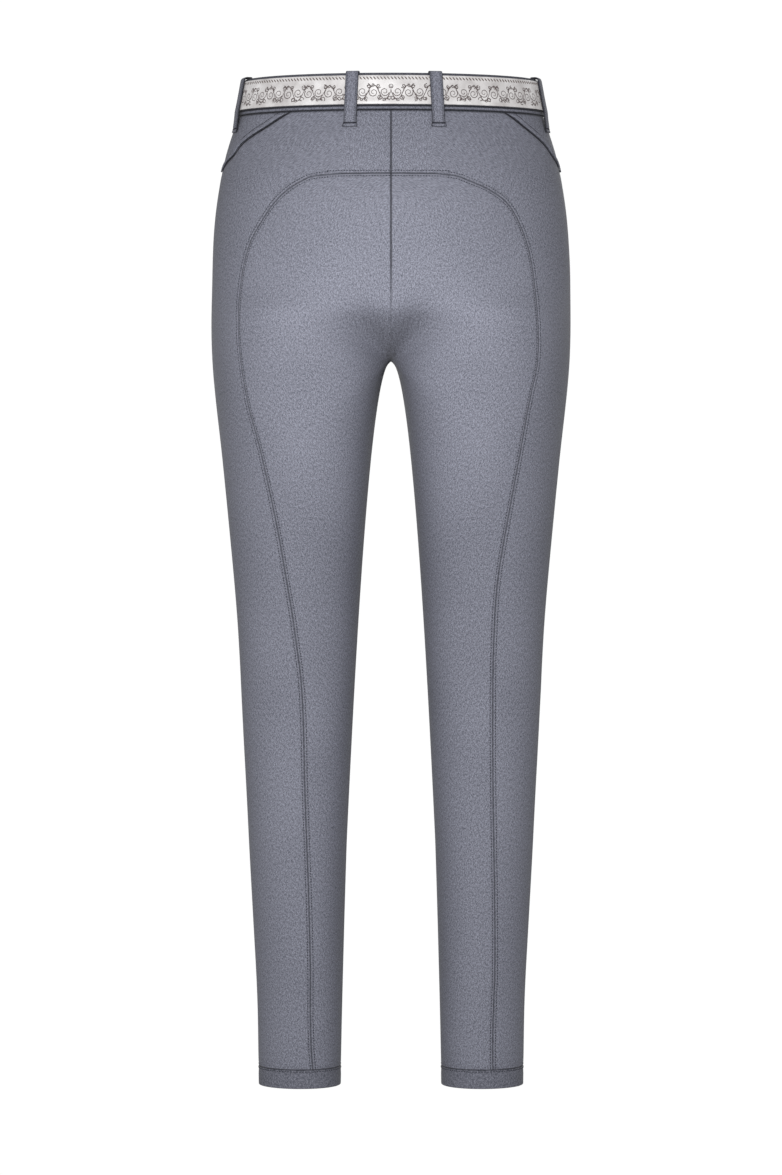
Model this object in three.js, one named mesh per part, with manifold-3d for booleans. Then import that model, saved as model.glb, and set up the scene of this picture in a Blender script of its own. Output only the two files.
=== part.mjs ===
// Riding breeches with a full seat and their own leather belt, filled out as worn and hollow.
// Millimetres, +Z up. The front faces -Y and the wearer's left is +X.
// The origin is the centre of the waist at the waistband's mid-height.
import * as THREE from 'three';
import { mergeVertices } from 'three/addons/utils/BufferGeometryUtils.js';
import Module from 'manifold-3d';

const wasm = await Module();
wasm.setup();

// ---- driving dimensions
const seamGap = 0.3;
const clothThickness = 1.2;
const waistTop = 18;
const waistSeam = -18;
const crotchHeight = -262;
const hemSeam = -966;
const hemBottom = -985;
const seatRise = 95;        // height above the crotch over which the legs merge into the seat
const thighBlend = 110;      // depth below the crotch over which the thigh takes the trunk's outer curve
const legSpread = 2.02;      // inner leg half gap for each square root of a millimetre below the crotch
const ankleTaper = 0.14;     // how much of that spread is lost at the hem
const calfHeight = -740;
const gapEase = 30;          // how slowly the leg gap opens away from the inseam
const lobePower = 32;
const waistbandThickness = 2.4;
const waistbandProud = 0.4;
const beltTop = 15.5;
const beltBottom = -13;
const beltThickness = 2.4;
const loopWidth = 12.5;
const loopThickness = 1.5;
const loopFoot = -35;

// half the garment's outline at each height: half width, front depth and back depth
const outline = [
  { z: 19, outer: 145.5, front: 94, back: 97 },
  { z: -18, outer: 153, front: 97, back: 100 },
  { z: -60, outer: 165.5, front: 101, back: 111 },
  { z: -110, outer: 174.5, front: 102, back: 119 },
  { z: -160, outer: 178.5, front: 100, back: 123 },
  { z: -210, outer: 179.5, front: 96, back: 121 },
  { z: -262, outer: 178, front: 90, back: 111 },
  { z: -300, outer: 175, front: 85, back: 101 },
  { z: -360, outer: 168.5, front: 79, back: 87 },
  { z: -440, outer: 160.5, front: 73, back: 74 },
  { z: -520, outer: 154, front: 68, back: 64 },
  { z: -600, outer: 149.5, front: 63, back: 57 },
  { z: -660, outer: 146.5, front: 59, back: 56 },
  { z: -740, outer: 142.5, front: 53, back: 57 },
  { z: -820, outer: 137.8, front: 47, back: 54 },
  { z: -900, outer: 134, front: 42, back: 48 },
  { z: -986, outer: 132.3, front: 39, back: 44 },
];

// full-seat seam on the back of each leg: distance out from the centre back at each height
const seatSeam = [
  { z: -81, left: 47, right: 42 },
  { z: -83, left: 74, right: 62 },
  { z: -88, left: 88, right: 77 },
  { z: -95, left: 100, right: 94 },
  { z: -106, left: 112.5, right: 111 },
  { z: -119, left: 122.5, right: 121.5 },
  { z: -145, left: 138, right: 133 },
  { z: -170, left: 145.5, right: 139 },
  { z: -195, left: 149, right: 142 },
  { z: -230, left: 150, right: 144.5 },
  { z: -265, left: 147.5, right: 144 },
  { z: -305, left: 141, right: 136 },
  { z: -350, left: 129, right: 128 },
  { z: -420, left: 113.5, right: 115 },
  { z: -480, left: 103, right: 105.5 },
  { z: -530, left: 95, right: 102 },
  { z: -590, left: 88, right: 100.7 },
  { z: -690, left: 85, right: 101.2 },
  { z: -790, left: 81.5, right: 102.7 },
  { z: -860, left: 80, right: 103.3 },
  { z: -940, left: 79.3, right: 101.2 },
  { z: -986, left: 75.5, right: 102 },
];

// hip seam: where the front panel's pocket edge curves round on to the back
const hipSeam = [
  { z: -17, left: 97, right: 110 },
  { z: -24, left: 109, right: 121 },
  { z: -33, left: 124, right: 133 },
  { z: -41, left: 138, right: 144 },
  { z: -49, left: 148.5, right: 153 },
  { z: -59, left: 156, right: 160.5 },
];
const hipSeamTurn = -59;     // below this the seam turns forward to the side of the leg
const sideSeamHeight = -92;
const sideAngle = Math.PI / 2 - 0.06;

// heights of the rings that the panels share
const yokeRings = [-18.15, -25, -32, -40, -49, -60, -71, -80.85];
const seatRings = [-81.15, -82.3, -84.5, -88, -94, -103, -115, -131, -150, -172, -196, -218];
const crotchRings = [-236, -248, -255.5, -259.6, -261.5, -262];
const legRings = [-262.5, -264.5, -269, -277, -291, -312, -342, -380, -420, -465, -515, -570, -630, -690,
  -750, -810, -870, -920, -965.85];

const { sin, cos, sqrt, abs, min, max, PI, hypot } = Math;
const clamp = (value, low, high) => min(max(value, low), high);

// smooth value of a table's column at a height, through the rows above and below
function column(table, name, z) {
  const last = table.length - 2;
  let row = 0;
  while (row < last && z < table[row + 1].z) {
    row += 1;
  }
  const at = (index) => table[clamp(index, 0, table.length - 1)];
  const [before, upper, lower, after] = [at(row - 1), at(row), at(row + 1), at(row + 2)];
  const step = lower.z - upper.z;
  const t = clamp((z - upper.z) / step, -0.2, 1.2);
  const slope = (a, b) => (a === b ? 0 : (b[name] - a[name]) / (b.z - a.z));
  const upperSlope = slope(before, lower) * step;
  const lowerSlope = slope(upper, after) * step;
  const t2 = t * t;
  const t3 = t2 * t;
  return upper[name] * (2 * t3 - 3 * t2 + 1) + upperSlope * (t3 - 2 * t2 + t)
    + lower[name] * (3 * t2 - 2 * t3) + lowerSlope * (t3 - t2);
}

// how far the two legs have merged into one trunk at a height: near the centre seams the change is quick
// and starts at the crotch, and round the outside of the thigh it is slow and starts lower
function mergeAt(angle, z) {
  const facing = abs(cos(angle));
  const start = crotchHeight - thighBlend * (1 - facing ** 4);
  const t = clamp((z - start) / (crotchHeight + seatRise - start), 0, 1);
  return (2 * t - t * t) ** (2 - 1.5 * facing ** 24);
}

function lobeHeight(angle, z) {
  const merge = mergeAt(angle, z);
  return abs(cos(angle)) * sqrt(merge ** 2 + (1 - merge ** 2) * 4 * sin(angle) ** 2);
}

// a ring's height, which the front and back depths are measured to: a power mean of its lobe, which is
// near the tallest spot but changes smoothly as the legs merge
const tallestAt = new Map();

function powerMean(height) {
  const steps = 200;
  let total = 0;
  for (let k = 0; k <= steps; k += 1) {
    total += height((k / steps) * (PI / 2)) ** lobePower;
  }
  return (total / (steps + 1)) ** (1 / lobePower);
}

function tallestLobe(z) {
  if (!tallestAt.has(z)) {
    tallestAt.set(z, powerMean((angle) => lobeHeight(angle, z)) / powerMean(cos));
  }
  return tallestAt.get(z);
}

// point on the outer face of the cloth's left half. The angle runs from the centre front or the front
// of the inseam (0) round the outside of the leg (PI / 2) to the centre back or the back of the inseam (PI).
function skin(angle, z) {
  const drop = max(crotchHeight - z, 0);
  const taper = clamp((calfHeight - z) / (calfHeight - hemBottom), 0, 1) * ankleTaper;
  const ease = gapEase * (1 - abs(cos(angle)) ** 8) + 1e-9;
  const inner = (legSpread - taper) * drop ** 2 / (drop + ease) ** 1.5;
  const width = column(outline, 'outer', z) - inner;
  const merge = mergeAt(angle, z);
  const s = sin(angle);
  const depth = column(outline, angle < PI / 2 ? 'front' : 'back', z);
  const x = inner + width * ((1 - merge) * s * s + merge * s);
  const y = -Math.sign(cos(angle)) * lobeHeight(angle, z) * depth / tallestLobe(z);
  return new THREE.Vector3(x, y, z);
}

// outward direction of the cloth at a point
function outward(angle, z) {
  const turn = 0.004;
  const climb = 0.25;
  const a = clamp(angle, turn, PI - turn);
  const around = skin(a + turn, z).sub(skin(a - turn, z));
  const high = z > crotchHeight ? max(z, crotchHeight + climb) : min(z, crotchHeight - climb);
  const up = skin(a, high + climb / 2).sub(skin(a, high - climb / 2));
  const normal = around.cross(up).normalize();
  if ((angle < turn || angle > PI - turn) && z > crotchHeight) {
    normal.x = 0;
  }
  return normal.normalize();
}

// angle at which the back of the garment is a given distance out from the centre
function backAngle(out, z) {
  let low = PI / 2;
  let high = PI;
  for (let pass = 0; pass < 40; pass += 1) {
    const middle = (low + high) / 2;
    if (skin(middle, z).x > out) {
      low = middle;
    } else {
      high = middle;
    }
  }
  return (low + high) / 2;
}

const seatAngle = (side, z) => backAngle(column(seatSeam, side, z), z);

function hipAngle(side, z) {
  if (z >= hipSeamTurn) {
    return backAngle(column(hipSeam, side, z), z);
  }
  const turned = backAngle(column(hipSeam, side, hipSeamTurn), hipSeamTurn);
  const t = clamp((hipSeamTurn - z) / (hipSeamTurn - sideSeamHeight), 0, 1);
  return turned + (sideAngle - turned) * (1 - (1 - t) ** 2);
}

// ---- solids from points
// a cloth wall: spots hold an outer point and an outward direction, and cells name their corners
function wall(spots, cells, thickness) {
  const count = spots.length;
  const position = [];
  spots.forEach((spot) => position.push(...spot.point.toArray()));
  spots.forEach((spot) => {
    position.push(...spot.point.clone().addScaledVector(spot.normal, -thickness).toArray());
  });
  const index = [];
  const edges = new Map();
  for (const [a, b, c] of cells) {
    index.push(a, b, c, a + count, c + count, b + count);
    for (const [from, to] of [[a, b], [b, c], [c, a]]) {
      if (!edges.delete(`${to},${from}`)) {
        edges.set(`${from},${to}`, [from, to]);
      }
    }
  }
  for (const [from, to] of edges.values()) {
    index.push(to, from, from + count, to, from + count, to + count);
  }
  const geometry = new THREE.BufferGeometry();
  geometry.setAttribute('position', new THREE.Float32BufferAttribute(position, 3));
  geometry.setIndex(index);
  return geometry;
}

// cells of a grid of spots with the given rows, each row the same length; wound to face outward
function gridCells(rows, across, start = 0, closed = false) {
  const cells = [];
  for (let row = 0; row < rows - 1; row += 1) {
    for (let k = 0; k < across - (closed ? 0 : 1); k += 1) {
      const next = (k + 1) % across;
      const a = start + row * across + k;
      const b = start + row * across + next;
      const c = a + across;
      const d = b + across;
      cells.push([a, c, b], [b, c, d]);
    }
  }
  return cells;
}

// turns the left half's spots into the right half's
function mirrored(spots, cells) {
  return [
    spots.map((spot) => ({
      point: spot.point.clone().multiply(new THREE.Vector3(-1, 1, 1)),
      normal: spot.normal.clone().multiply(new THREE.Vector3(-1, 1, 1)),
    })),
    cells.map(([a, b, c]) => [a, c, b]),
  ];
}

// one ring's spots from one angle to another, held half a seam gap back at each end
function ringSpots(z, from, to, across) {
  const spots = [];
  for (let k = 0; k <= across; k += 1) {
    const angle = from + (to - from) * (k / across);
    spots.push({ point: skin(angle, z), normal: outward(angle, z) });
  }
  const inset = (spot, other) => {
    const along = other.point.clone().sub(spot.point);
    along.addScaledVector(spot.normal, -along.dot(spot.normal)).normalize();
    spot.point.addScaledVector(along, seamGap / 2);
  };
  inset(spots[0], spots[1]);
  inset(spots[across], spots[across - 1]);
  return spots;
}

const lowerRings = [...seatRings, ...crotchRings, ...legRings];
const fabric = { color: 0x7d7f8c, roughness: 0.85, metalness: 0 };
const breeches = new THREE.Group();

function addPiece(name, geometry, finish) {
  const mesh = new THREE.Mesh(geometry, new THREE.MeshStandardMaterial(finish));
  mesh.name = name;
  breeches.add(mesh);
}

function addWall(name, side, spots, cells, thickness) {
  const [sideSpots, sideCells] = side === 'right' ? mirrored(spots, cells) : [spots, cells];
  addPiece(name, wall(sideSpots, sideCells, thickness), fabric);
}

// ---- panels
function frontPanel(side) {
  const across = 8;
  const spots = [];
  const rings = [...yokeRings, ...lowerRings];
  for (const z of rings) {
    spots.push(...ringSpots(z, 0, hipAngle(side, z), across));
  }
  addWall(`front_${side}`, side, spots, gridCells(rings.length, across + 1), clothThickness);
}

// the seat panel lies inside the full-seat seam, down to the hem
function seatPanel(side) {
  const across = 5;
  const spots = [];
  for (const z of lowerRings) {
    spots.push(...ringSpots(z, seatAngle(side, z), PI, across));
  }
  addWall(`seat_${side}`, side, spots, gridCells(lowerRings.length, across + 1), clothThickness);
}

// the yoke over the seat panel and the outer back of the leg are one cut
function backSidePanel(side) {
  const outerAcross = 5;
  const yokeAcross = 5;
  const across = outerAcross + yokeAcross;
  const spots = [];
  for (const z of yokeRings) {
    const split = seatAngle(side, min(z, seatRings[0]));
    const outer = ringSpots(z, hipAngle(side, z), split, outerAcross);
    const yoke = ringSpots(z, split, PI, yokeAcross);
    outer.pop();
    spots.push(...outer, ...yoke);
  }
  const cells = gridCells(yokeRings.length, across + 1);
  const yokeEnd = (yokeRings.length - 1) * (across + 1);
  const legStart = spots.length;
  for (const z of lowerRings) {
    spots.push(...ringSpots(z, hipAngle(side, z), seatAngle(side, z), outerAcross));
  }
  for (let k = 0; k < outerAcross; k += 1) {
    const [a, b] = [yokeEnd + k, yokeEnd + k + 1];
    const [c, d] = [legStart + k, legStart + k + 1];
    cells.push([a, c, b], [b, c, d]);
  }
  cells.push(...gridCells(lowerRings.length, outerAcross + 1, legStart));
  addWall(`back_side_${side}`, side, spots, cells, clothThickness);
}

// a strip along the pocket's edge, lying on the front panel
function pocketWelt(side) {
  const width = 6.3;
  const slant = 1.35;          // the seam slopes, so the strip is wider along a level ring
  const edgeGap = 0.9;
  const lift = 0.5;
  const thickness = 1;
  const turn = 0.02;
  const rings = yokeRings.slice(1, 7);
  const spots = [];
  for (const z of rings) {
    const edge = hipAngle(side, z);
    const radius = skin(edge, z).distanceTo(skin(edge - turn, z)) / turn;
    const near = edge - edgeGap / radius;
    const far = edge - (width * slant) / radius;
    for (const angle of [far, (near + far) / 2, near]) {
      const normal = outward(angle, z);
      const point = skin(angle, z).addScaledVector(normal, lift + thickness);
      spots.push({ point, normal });
    }
  }
  addWall(`pocket_welt_${side}`, side, spots, gridCells(rings.length, 3), thickness);
}

// the folded hem goes all round the ankle
function hemBand(side) {
  const across = 24;
  const thickness = 2.4;
  const inseam = 0.02;         // the inseam's own direction is taken just beside it
  const rings = [hemSeam - seamGap / 2, hemBottom + 4, hemBottom];
  const spots = [];
  for (const z of rings) {
    for (let k = 0; k < across; k += 1) {
      const angle = (k / across) * PI;
      const normal = outward(clamp(angle, inseam, PI - inseam), z);
      if (k === 0) {
        normal.set(-1, 0, 0);
      }
      spots.push({ point: skin(angle, z), normal });
    }
  }
  addWall(`hem_${side}`, side, spots, gridCells(rings.length, across, 0, true), thickness);
}

// point over the waistband at a turn round the waist: 0 at the centre front, then left, back and right
function waistPoint(turn, z, lift) {
  const around = ((turn % (2 * PI)) + 2 * PI) % (2 * PI);
  const angle = around <= PI ? around : 2 * PI - around;
  const flip = around <= PI ? 1 : -1;
  const normal = outward(angle, z);
  if (angle < 0.004 || angle > PI - 0.004) {
    normal.set(0, angle < 1 ? -1 : 1, 0);
  }
  normal.z = 0;
  normal.normalize();
  const point = skin(angle, z).addScaledVector(normal, lift);
  point.x *= flip;
  normal.x *= flip;
  return { point, normal };
}

function waistbandPiece(name, from, to, across) {
  const rings = [waistTop, 0, waistSeam + seamGap / 2];
  const waistRadius = 100;
  const start = from + seamGap / 2 / waistRadius;
  const end = to - seamGap / 2 / waistRadius;
  const spots = [];
  for (const z of rings) {
    for (let k = 0; k <= across; k += 1) {
      spots.push(waistPoint(start + (end - start) * (k / across), z, waistbandProud));
    }
  }
  addPiece(name, wall(spots, gridCells(rings.length, across + 1), waistbandThickness), fabric);
}

// the fly lap covers the closed front from the waist seam down, on both front panels
function flyLap() {
  const length = 165;
  const width = 33;
  const lip = 4;               // how far the lap reaches past the centre front
  const straight = 0.7;        // share of its length above the rounded end
  const narrowest = 0.012;
  const lift = 0.45;
  const thickness = 1.2;
  const rings = 10;
  const across = 4;
  const spots = [];
  for (let row = 0; row <= rings; row += 1) {
    const down = row / rings;
    const z = waistSeam - 1 - length * down;
    const round = max(down - straight, 0) / (1 - straight);
    const curve = sqrt(max(1 - round ** 2, narrowest));
    for (let k = 0; k <= across; k += 1) {
      const x = lip * curve - (lip + width) * curve * (1 - k / across);
      const angle = Math.asin(clamp(abs(x) / skin(PI / 2, z).x, 0, 1));
      const normal = outward(max(angle, 0.004), z);
      normal.x = abs(x) < 1 ? 0 : normal.x * Math.sign(x);
      const point = skin(angle, z);
      point.x *= Math.sign(x) || 1;
      point.addScaledVector(normal.normalize(), lift + thickness);
      spots.push({ point, normal });
    }
  }
  addPiece('fly_lap', wall(spots, gridCells(rings + 1, across + 1), thickness), fabric);
}

// ---- belt
const beltLift = waistbandProud + 0.5;
const beltMiddle = (beltTop + beltBottom) / 2;
const beltFinish = { color: 0xc9c3c2, roughness: 0.45, metalness: 0.15 };
const metalFinish = { color: 0xb9bcc0, roughness: 0.28, metalness: 1 };
const rivetFinish = { color: 0x8a6b52, roughness: 0.35, metalness: 1 };

// the strap runs from behind the buckle's bar round the right, back and left, then through the buckle
// and over itself to its free end. Its turn is measured from the centre front.
const strapStart = 2 * PI - 0.09;
const strapEnd = -1.0;
const strapRise = 3;         // how far the free end stands off the strap under it
const barTurn = -0.124;
const barRise = 3.5;         // the free end's hump over the buckle's bar

function strapLift(turn) {
  const ramp = clamp((0.5 - turn) / 0.34, 0, 1);
  const hump = clamp(1.25 - abs(turn - barTurn) / 0.08, 0, 1);
  const rise = strapRise * ramp * ramp * (3 - 2 * ramp);
  return beltLift + rise + barRise * hump * hump * (3 - 2 * hump);
}

function toManifold(geometry) {
  const plain = geometry.clone();
  plain.deleteAttribute('normal');
  plain.deleteAttribute('uv');
  const merged = mergeVertices(plain, 1e-4);
  return new wasm.Manifold(new wasm.Mesh({
    numProp: 3,
    vertProperties: new Float32Array(merged.attributes.position.array),
    triVerts: new Uint32Array(merged.index.array),
  }));
}

function fromManifold(solid) {
  const mesh = solid.getMesh();
  const geometry = new THREE.BufferGeometry();
  geometry.setAttribute('position', new THREE.BufferAttribute(mesh.vertProperties, 3));
  geometry.setIndex(new THREE.BufferAttribute(mesh.triVerts, 1));
  return geometry;
}

// moves a shape made round the Z axis to a place on the waist, with Z pointing out
function standOut(geometry, turn, z, lift) {
  const { point, normal } = waistPoint(turn, z, lift);
  const facing = new THREE.Object3D();
  facing.position.copy(point);
  facing.up.set(0, 0, 1);
  facing.lookAt(point.clone().add(normal));
  facing.updateMatrix();
  return geometry.applyMatrix4(facing.matrix);
}

// the first hole takes the prong, and is a slot
function strapHoles() {
  const depth = 14;
  const slot = new THREE.CylinderGeometry(2.4, 2.4, depth, 12);
  slot.rotateX(PI / 2);
  slot.scale(2.4, 1, 1);
  const slotTurn = -0.07;
  const holes = [standOut(slot, slotTurn, beltMiddle, strapLift(slotTurn))];
  const firstHole = -0.36;
  const holeStep = 0.13;
  const holeCount = 5;
  const holeFloor = 0.4;       // the holes past the keeper stop this far short of the strap below
  for (let k = 0; k < holeCount; k += 1) {
    const turn = firstHole - holeStep * k;
    const tool = new THREE.CylinderGeometry(1.8, 1.8, depth, 12);
    tool.rotateX(PI / 2);
    const reach = depth / 2 - holeFloor;
    holes.push(standOut(tool, turn, beltMiddle, strapLift(turn) + reach));
  }
  return holes;
}

// where the strap's sections stand: close together at the tip and the buckle, wider apart elsewhere
function strapTurns() {
  const turns = [];
  for (let turn = strapEnd; turn < strapStart;) {
    turns.push(turn);
    const nearBuckle = turn > -0.26 && turn < 0.16;
    const nearTip = turn < strapEnd + 0.05;
    turn += nearBuckle || nearTip ? 0.014 : 0.075;
  }
  turns.push(strapStart);
  return turns;
}

function beltStrap() {
  const spots = [];
  const turns = strapTurns();
  const tipSteps = 4;
  const tipShare = 0.3;        // how wide the free end is at its very tip
  const halfWidth = (beltTop - beltBottom) / 2;
  const levels = [1, -1];
  for (const level of levels) {
    for (const [k, turn] of turns.entries()) {
      const tip = clamp(k / tipSteps, 0, 1);
      const round = tipShare + (1 - tipShare) * sqrt(1 - (1 - tip) ** 2);
      const z = beltMiddle + halfWidth * level * round;
      spots.push(waistPoint(turn, z, strapLift(turn) + beltThickness));
    }
  }
  let solid = toManifold(wall(spots, gridCells(levels.length, turns.length), beltThickness));
  for (const tool of strapHoles()) {
    solid = solid.subtract(toManifold(tool));
  }
  addPiece('belt_strap', fromManifold(solid), beltFinish);
}

// a strip bent over the belt: the path gives its outer face's lift and height from its upper end down
function bentStrip(name, turn, width, path, thickness, finish) {
  const spots = [];
  const across = 2;
  path.forEach((step, row) => {
    const before = path[max(row - 1, 0)];
    const after = path[min(row + 1, path.length - 1)];
    const length = hypot(after.lift - before.lift, after.z - before.z);
    const outShare = (before.z - after.z) / length;
    const upShare = (after.lift - before.lift) / length;
    const centre = waistPoint(turn, step.z, 0).point;
    const pace = waistPoint(turn + 0.01, step.z, 0).point.distanceTo(centre) / 0.01;
    const wide = (width * (step.wide ?? 1)) / pace;
    for (let k = 0; k <= across; k += 1) {
      const { point, normal } = waistPoint(turn + (k / across - 0.5) * wide, step.z, step.lift);
      normal.multiplyScalar(outShare);
      normal.z += upShare;
      spots.push({ point, normal });
    }
  });
  addPiece(name, wall(spots, gridCells(path.length, across + 1), thickness), finish);
}

// a belt loop hooks over the waistband's top edge, crosses the belt and is sewn down below the waist
function beltLoop(name, turn, layers) {
  const clear = 0.4;
  const insideClear = 0.7;
  const over = beltLift + beltThickness + (layers - 1) * strapRise + clear + loopThickness;
  const inside = waistbandProud - waistbandThickness - insideClear;
  const top = waistTop + clear + loopThickness;
  const foot = clear + loopThickness;
  const path = [
    { lift: inside - loopThickness + 0.02, z: waistTop - 10 },
    { lift: inside - loopThickness, z: waistTop - 2 },
    { lift: inside - loopThickness + 0.5, z: top - 0.9 },
    { lift: inside - loopThickness + 1.6, z: top },
    { lift: over - 2.2, z: top },
    { lift: over - 0.6, z: top - 0.7 },
    { lift: over, z: top - 2.4 },
    { lift: over, z: beltMiddle },
    { lift: over, z: beltBottom - 1 },
    { lift: over - (over - foot) * 0.25, z: beltBottom - 6 },
    { lift: foot + 0.5, z: loopFoot + 6 },
    { lift: foot, z: loopFoot + 4, wide: 1.2 },
    { lift: foot, z: loopFoot, wide: 1.22 },
  ];
  bentStrip(name, turn, loopWidth, path, loopThickness, fabric);
}

// the keeper holds the free end down beside the buckle
function beltKeeper() {
  const thickness = 1.5;
  const clear = 0.4;
  const low = beltLift + 0.3;
  const high = beltLift + strapRise + beltThickness + clear + thickness;
  const top = beltTop + clear + thickness;
  const bottom = beltBottom - clear - thickness;
  const path = [
    { lift: low, z: top },
    { lift: high - 1.2, z: top },
    { lift: high, z: top - 1.2 },
    { lift: high, z: beltMiddle },
    { lift: high, z: bottom + 1.2 },
    { lift: high - 1.2, z: bottom },
    { lift: low, z: bottom },
  ];
  bentStrip('belt_keeper', -0.3, 9, path, thickness, beltFinish);
}

function roundedOutline(width, height, radius, kind) {
  const [w, h] = [width / 2, height / 2];
  const outline2d = new kind();
  outline2d.moveTo(-w + radius, -h);
  outline2d.lineTo(w - radius, -h);
  outline2d.absarc(w - radius, -h + radius, radius, -PI / 2, 0);
  outline2d.lineTo(w, h - radius);
  outline2d.absarc(w - radius, h - radius, radius, 0, PI / 2);
  outline2d.lineTo(-w + radius, h);
  outline2d.absarc(-w + radius, h - radius, radius, PI / 2, PI);
  outline2d.lineTo(-w, -h + radius);
  outline2d.absarc(-w + radius, -h + radius, radius, PI, 1.5 * PI);
  return outline2d;
}

// the frame's left side is the bar under the free end, and its right side lies over the strap
const buckle = {
  width: 43,
  height: 42,
  opening: 34.4,
  openingHeight: 33,
  cornerRadius: 6,
  depth: 1.6,
  bevel: 0.5,
  tilt: 0.085,
};
const buckleLift = 6.3;
const buckleTurn = 0.004;
const waistFlare = column(outline, 'front', beltBottom) - column(outline, 'front', beltTop);
const waistSlope = waistFlare / (beltTop - beltBottom);

function buckleFrame() {
  const shape = roundedOutline(buckle.width, buckle.height, buckle.cornerRadius, THREE.Shape);
  const opening = roundedOutline(buckle.opening, buckle.openingHeight, buckle.cornerRadius / 2, THREE.Path);
  shape.holes.push(opening);
  const geometry = new THREE.ExtrudeGeometry(shape, {
    depth: buckle.depth,
    bevelEnabled: true,
    bevelThickness: buckle.bevel,
    bevelSize: buckle.bevel,
    bevelSegments: 1,
    curveSegments: 3,
  });
  geometry.translate(0, 0, -buckle.depth / 2);
  geometry.rotateY(-buckle.tilt);
  geometry.rotateX(-waistSlope);
  addPiece('belt_buckle_frame', standOut(geometry, buckleTurn, beltMiddle, buckleLift), metalFinish);
}

// the prong rises through the strap's first hole and rests on the frame's far side
function buckleProng() {
  const radius = 1.3;
  const path = new THREE.CatmullRomCurve3([
    new THREE.Vector3(-15.6, 0, -0.9),
    new THREE.Vector3(-11.5, 0, 0.6),
    new THREE.Vector3(-6, 0, 3.4),
    new THREE.Vector3(6, 0, 4.6),
    new THREE.Vector3(21, 0, 5.4),
  ]);
  const section = new THREE.Shape();
  section.absarc(0, 0, radius, 0, 2 * PI);
  const geometry = new THREE.ExtrudeGeometry(section, { steps: 14, extrudePath: path, curveSegments: 4 });
  addPiece('belt_buckle_prong', standOut(geometry, buckleTurn, beltMiddle, buckleLift), metalFinish);
}

// a small domed rivet at the top of the left pocket
function waistRivet() {
  const profile = [[0, 0], [2.6, 0], [3.4, 0.6], [3.5, 1.4], [2.9, 2.6], [1.6, 3.5], [0, 3.9]];
  const dome = new THREE.LatheGeometry(profile.map(([r, h]) => new THREE.Vector2(r, h)), 16);
  dome.rotateX(PI / 2);
  addPiece('waist_rivet_left', standOut(dome, PI / 2 - 0.13, -16.8, waistbandProud + 0.9), rivetFinish);
}

['left', 'right'].forEach((side) => {
  frontPanel(side);
  backSidePanel(side);
  seatPanel(side);
  pocketWelt(side);
  hemBand(side);
});
waistbandPiece('waistband_front_left', 0, PI / 2, 10);
waistbandPiece('waistband_back', PI / 2, 3 * PI / 2, 20);
waistbandPiece('waistband_front_right', 3 * PI / 2, 2 * PI, 10);
flyLap();
beltLoop('belt_loop_back_left', PI - 0.258, 1);
beltLoop('belt_loop_back_right', PI + 0.3, 1);
beltLoop('belt_loop_side_left', PI / 2 + 0.2, 1);
beltLoop('belt_loop_side_right', 1.5 * PI - 0.18, 1);
beltLoop('belt_loop_front_left', 0.62, 1);
beltLoop('belt_loop_front_right', -0.62, 2);
beltStrap();
beltKeeper();
buckleFrame();
buckleProng();
waistRivet();

export default breeches;
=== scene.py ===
# Riding breeches with a full seat and their own belt, filled out as worn.
# Lengths in the dictionaries are millimetres; meshes are made in metres in the frame's own axes.
import math
import bpy
import numpy as np
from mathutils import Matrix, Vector


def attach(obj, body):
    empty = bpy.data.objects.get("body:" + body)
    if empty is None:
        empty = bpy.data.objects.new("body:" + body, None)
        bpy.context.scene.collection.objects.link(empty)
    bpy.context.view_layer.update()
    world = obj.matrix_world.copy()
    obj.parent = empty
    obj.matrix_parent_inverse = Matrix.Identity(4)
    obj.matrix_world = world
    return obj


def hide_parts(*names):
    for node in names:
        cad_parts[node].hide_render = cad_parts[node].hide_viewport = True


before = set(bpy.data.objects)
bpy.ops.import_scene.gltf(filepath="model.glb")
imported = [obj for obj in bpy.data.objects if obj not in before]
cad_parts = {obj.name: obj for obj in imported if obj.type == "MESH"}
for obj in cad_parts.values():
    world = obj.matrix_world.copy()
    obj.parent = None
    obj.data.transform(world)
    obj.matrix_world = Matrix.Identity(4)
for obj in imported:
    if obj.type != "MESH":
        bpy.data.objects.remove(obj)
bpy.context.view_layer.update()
mm = 0.001
pi = math.pi
print("frame loaded")


# ---- the cut: the same tables that the solids are made from
def table(names, rows):
    return {name: np.array([row[k] for row in rows], float) for k, name in enumerate(names.split())}


outline = table("z outer front back", [
    (19, 145.5, 94, 97), (-18, 153, 97, 100), (-60, 165.5, 101, 111), (-110, 174.5, 102, 119),
    (-160, 178.5, 100, 123), (-210, 179.5, 96, 121), (-262, 178, 90, 111), (-300, 175, 85, 101),
    (-360, 168.5, 79, 87), (-440, 160.5, 73, 74), (-520, 154, 68, 64), (-600, 149.5, 63, 57),
    (-660, 146.5, 59, 56), (-740, 142.5, 53, 57), (-820, 137.8, 47, 54), (-900, 134, 42, 48),
    (-986, 132.3, 39, 44)])

# full-seat seam: distance out from the centre back
seatSeam = table("z left right", [
    (-81, 47, 42), (-83, 74, 62), (-88, 88, 77), (-95, 100, 94), (-106, 112.5, 111), (-119, 122.5, 121.5),
    (-145, 138, 133), (-170, 145.5, 139), (-195, 149, 142), (-230, 150, 144.5), (-265, 147.5, 144),
    (-305, 141, 136), (-350, 129, 128), (-420, 113.5, 115), (-480, 103, 105.5), (-530, 95, 102),
    (-590, 88, 100.7), (-690, 85, 101.2), (-790, 81.5, 102.7), (-860, 80, 103.3), (-940, 79.3, 101.2),
    (-986, 75.5, 102)])

# hip seam, where the pocket edge curves on to the back
hipSeam = table("z left right", [
    (-17, 97, 110), (-24, 109, 121), (-33, 124, 133), (-41, 138, 144), (-49, 148.5, 153), (-59, 156, 160.5)])

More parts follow.
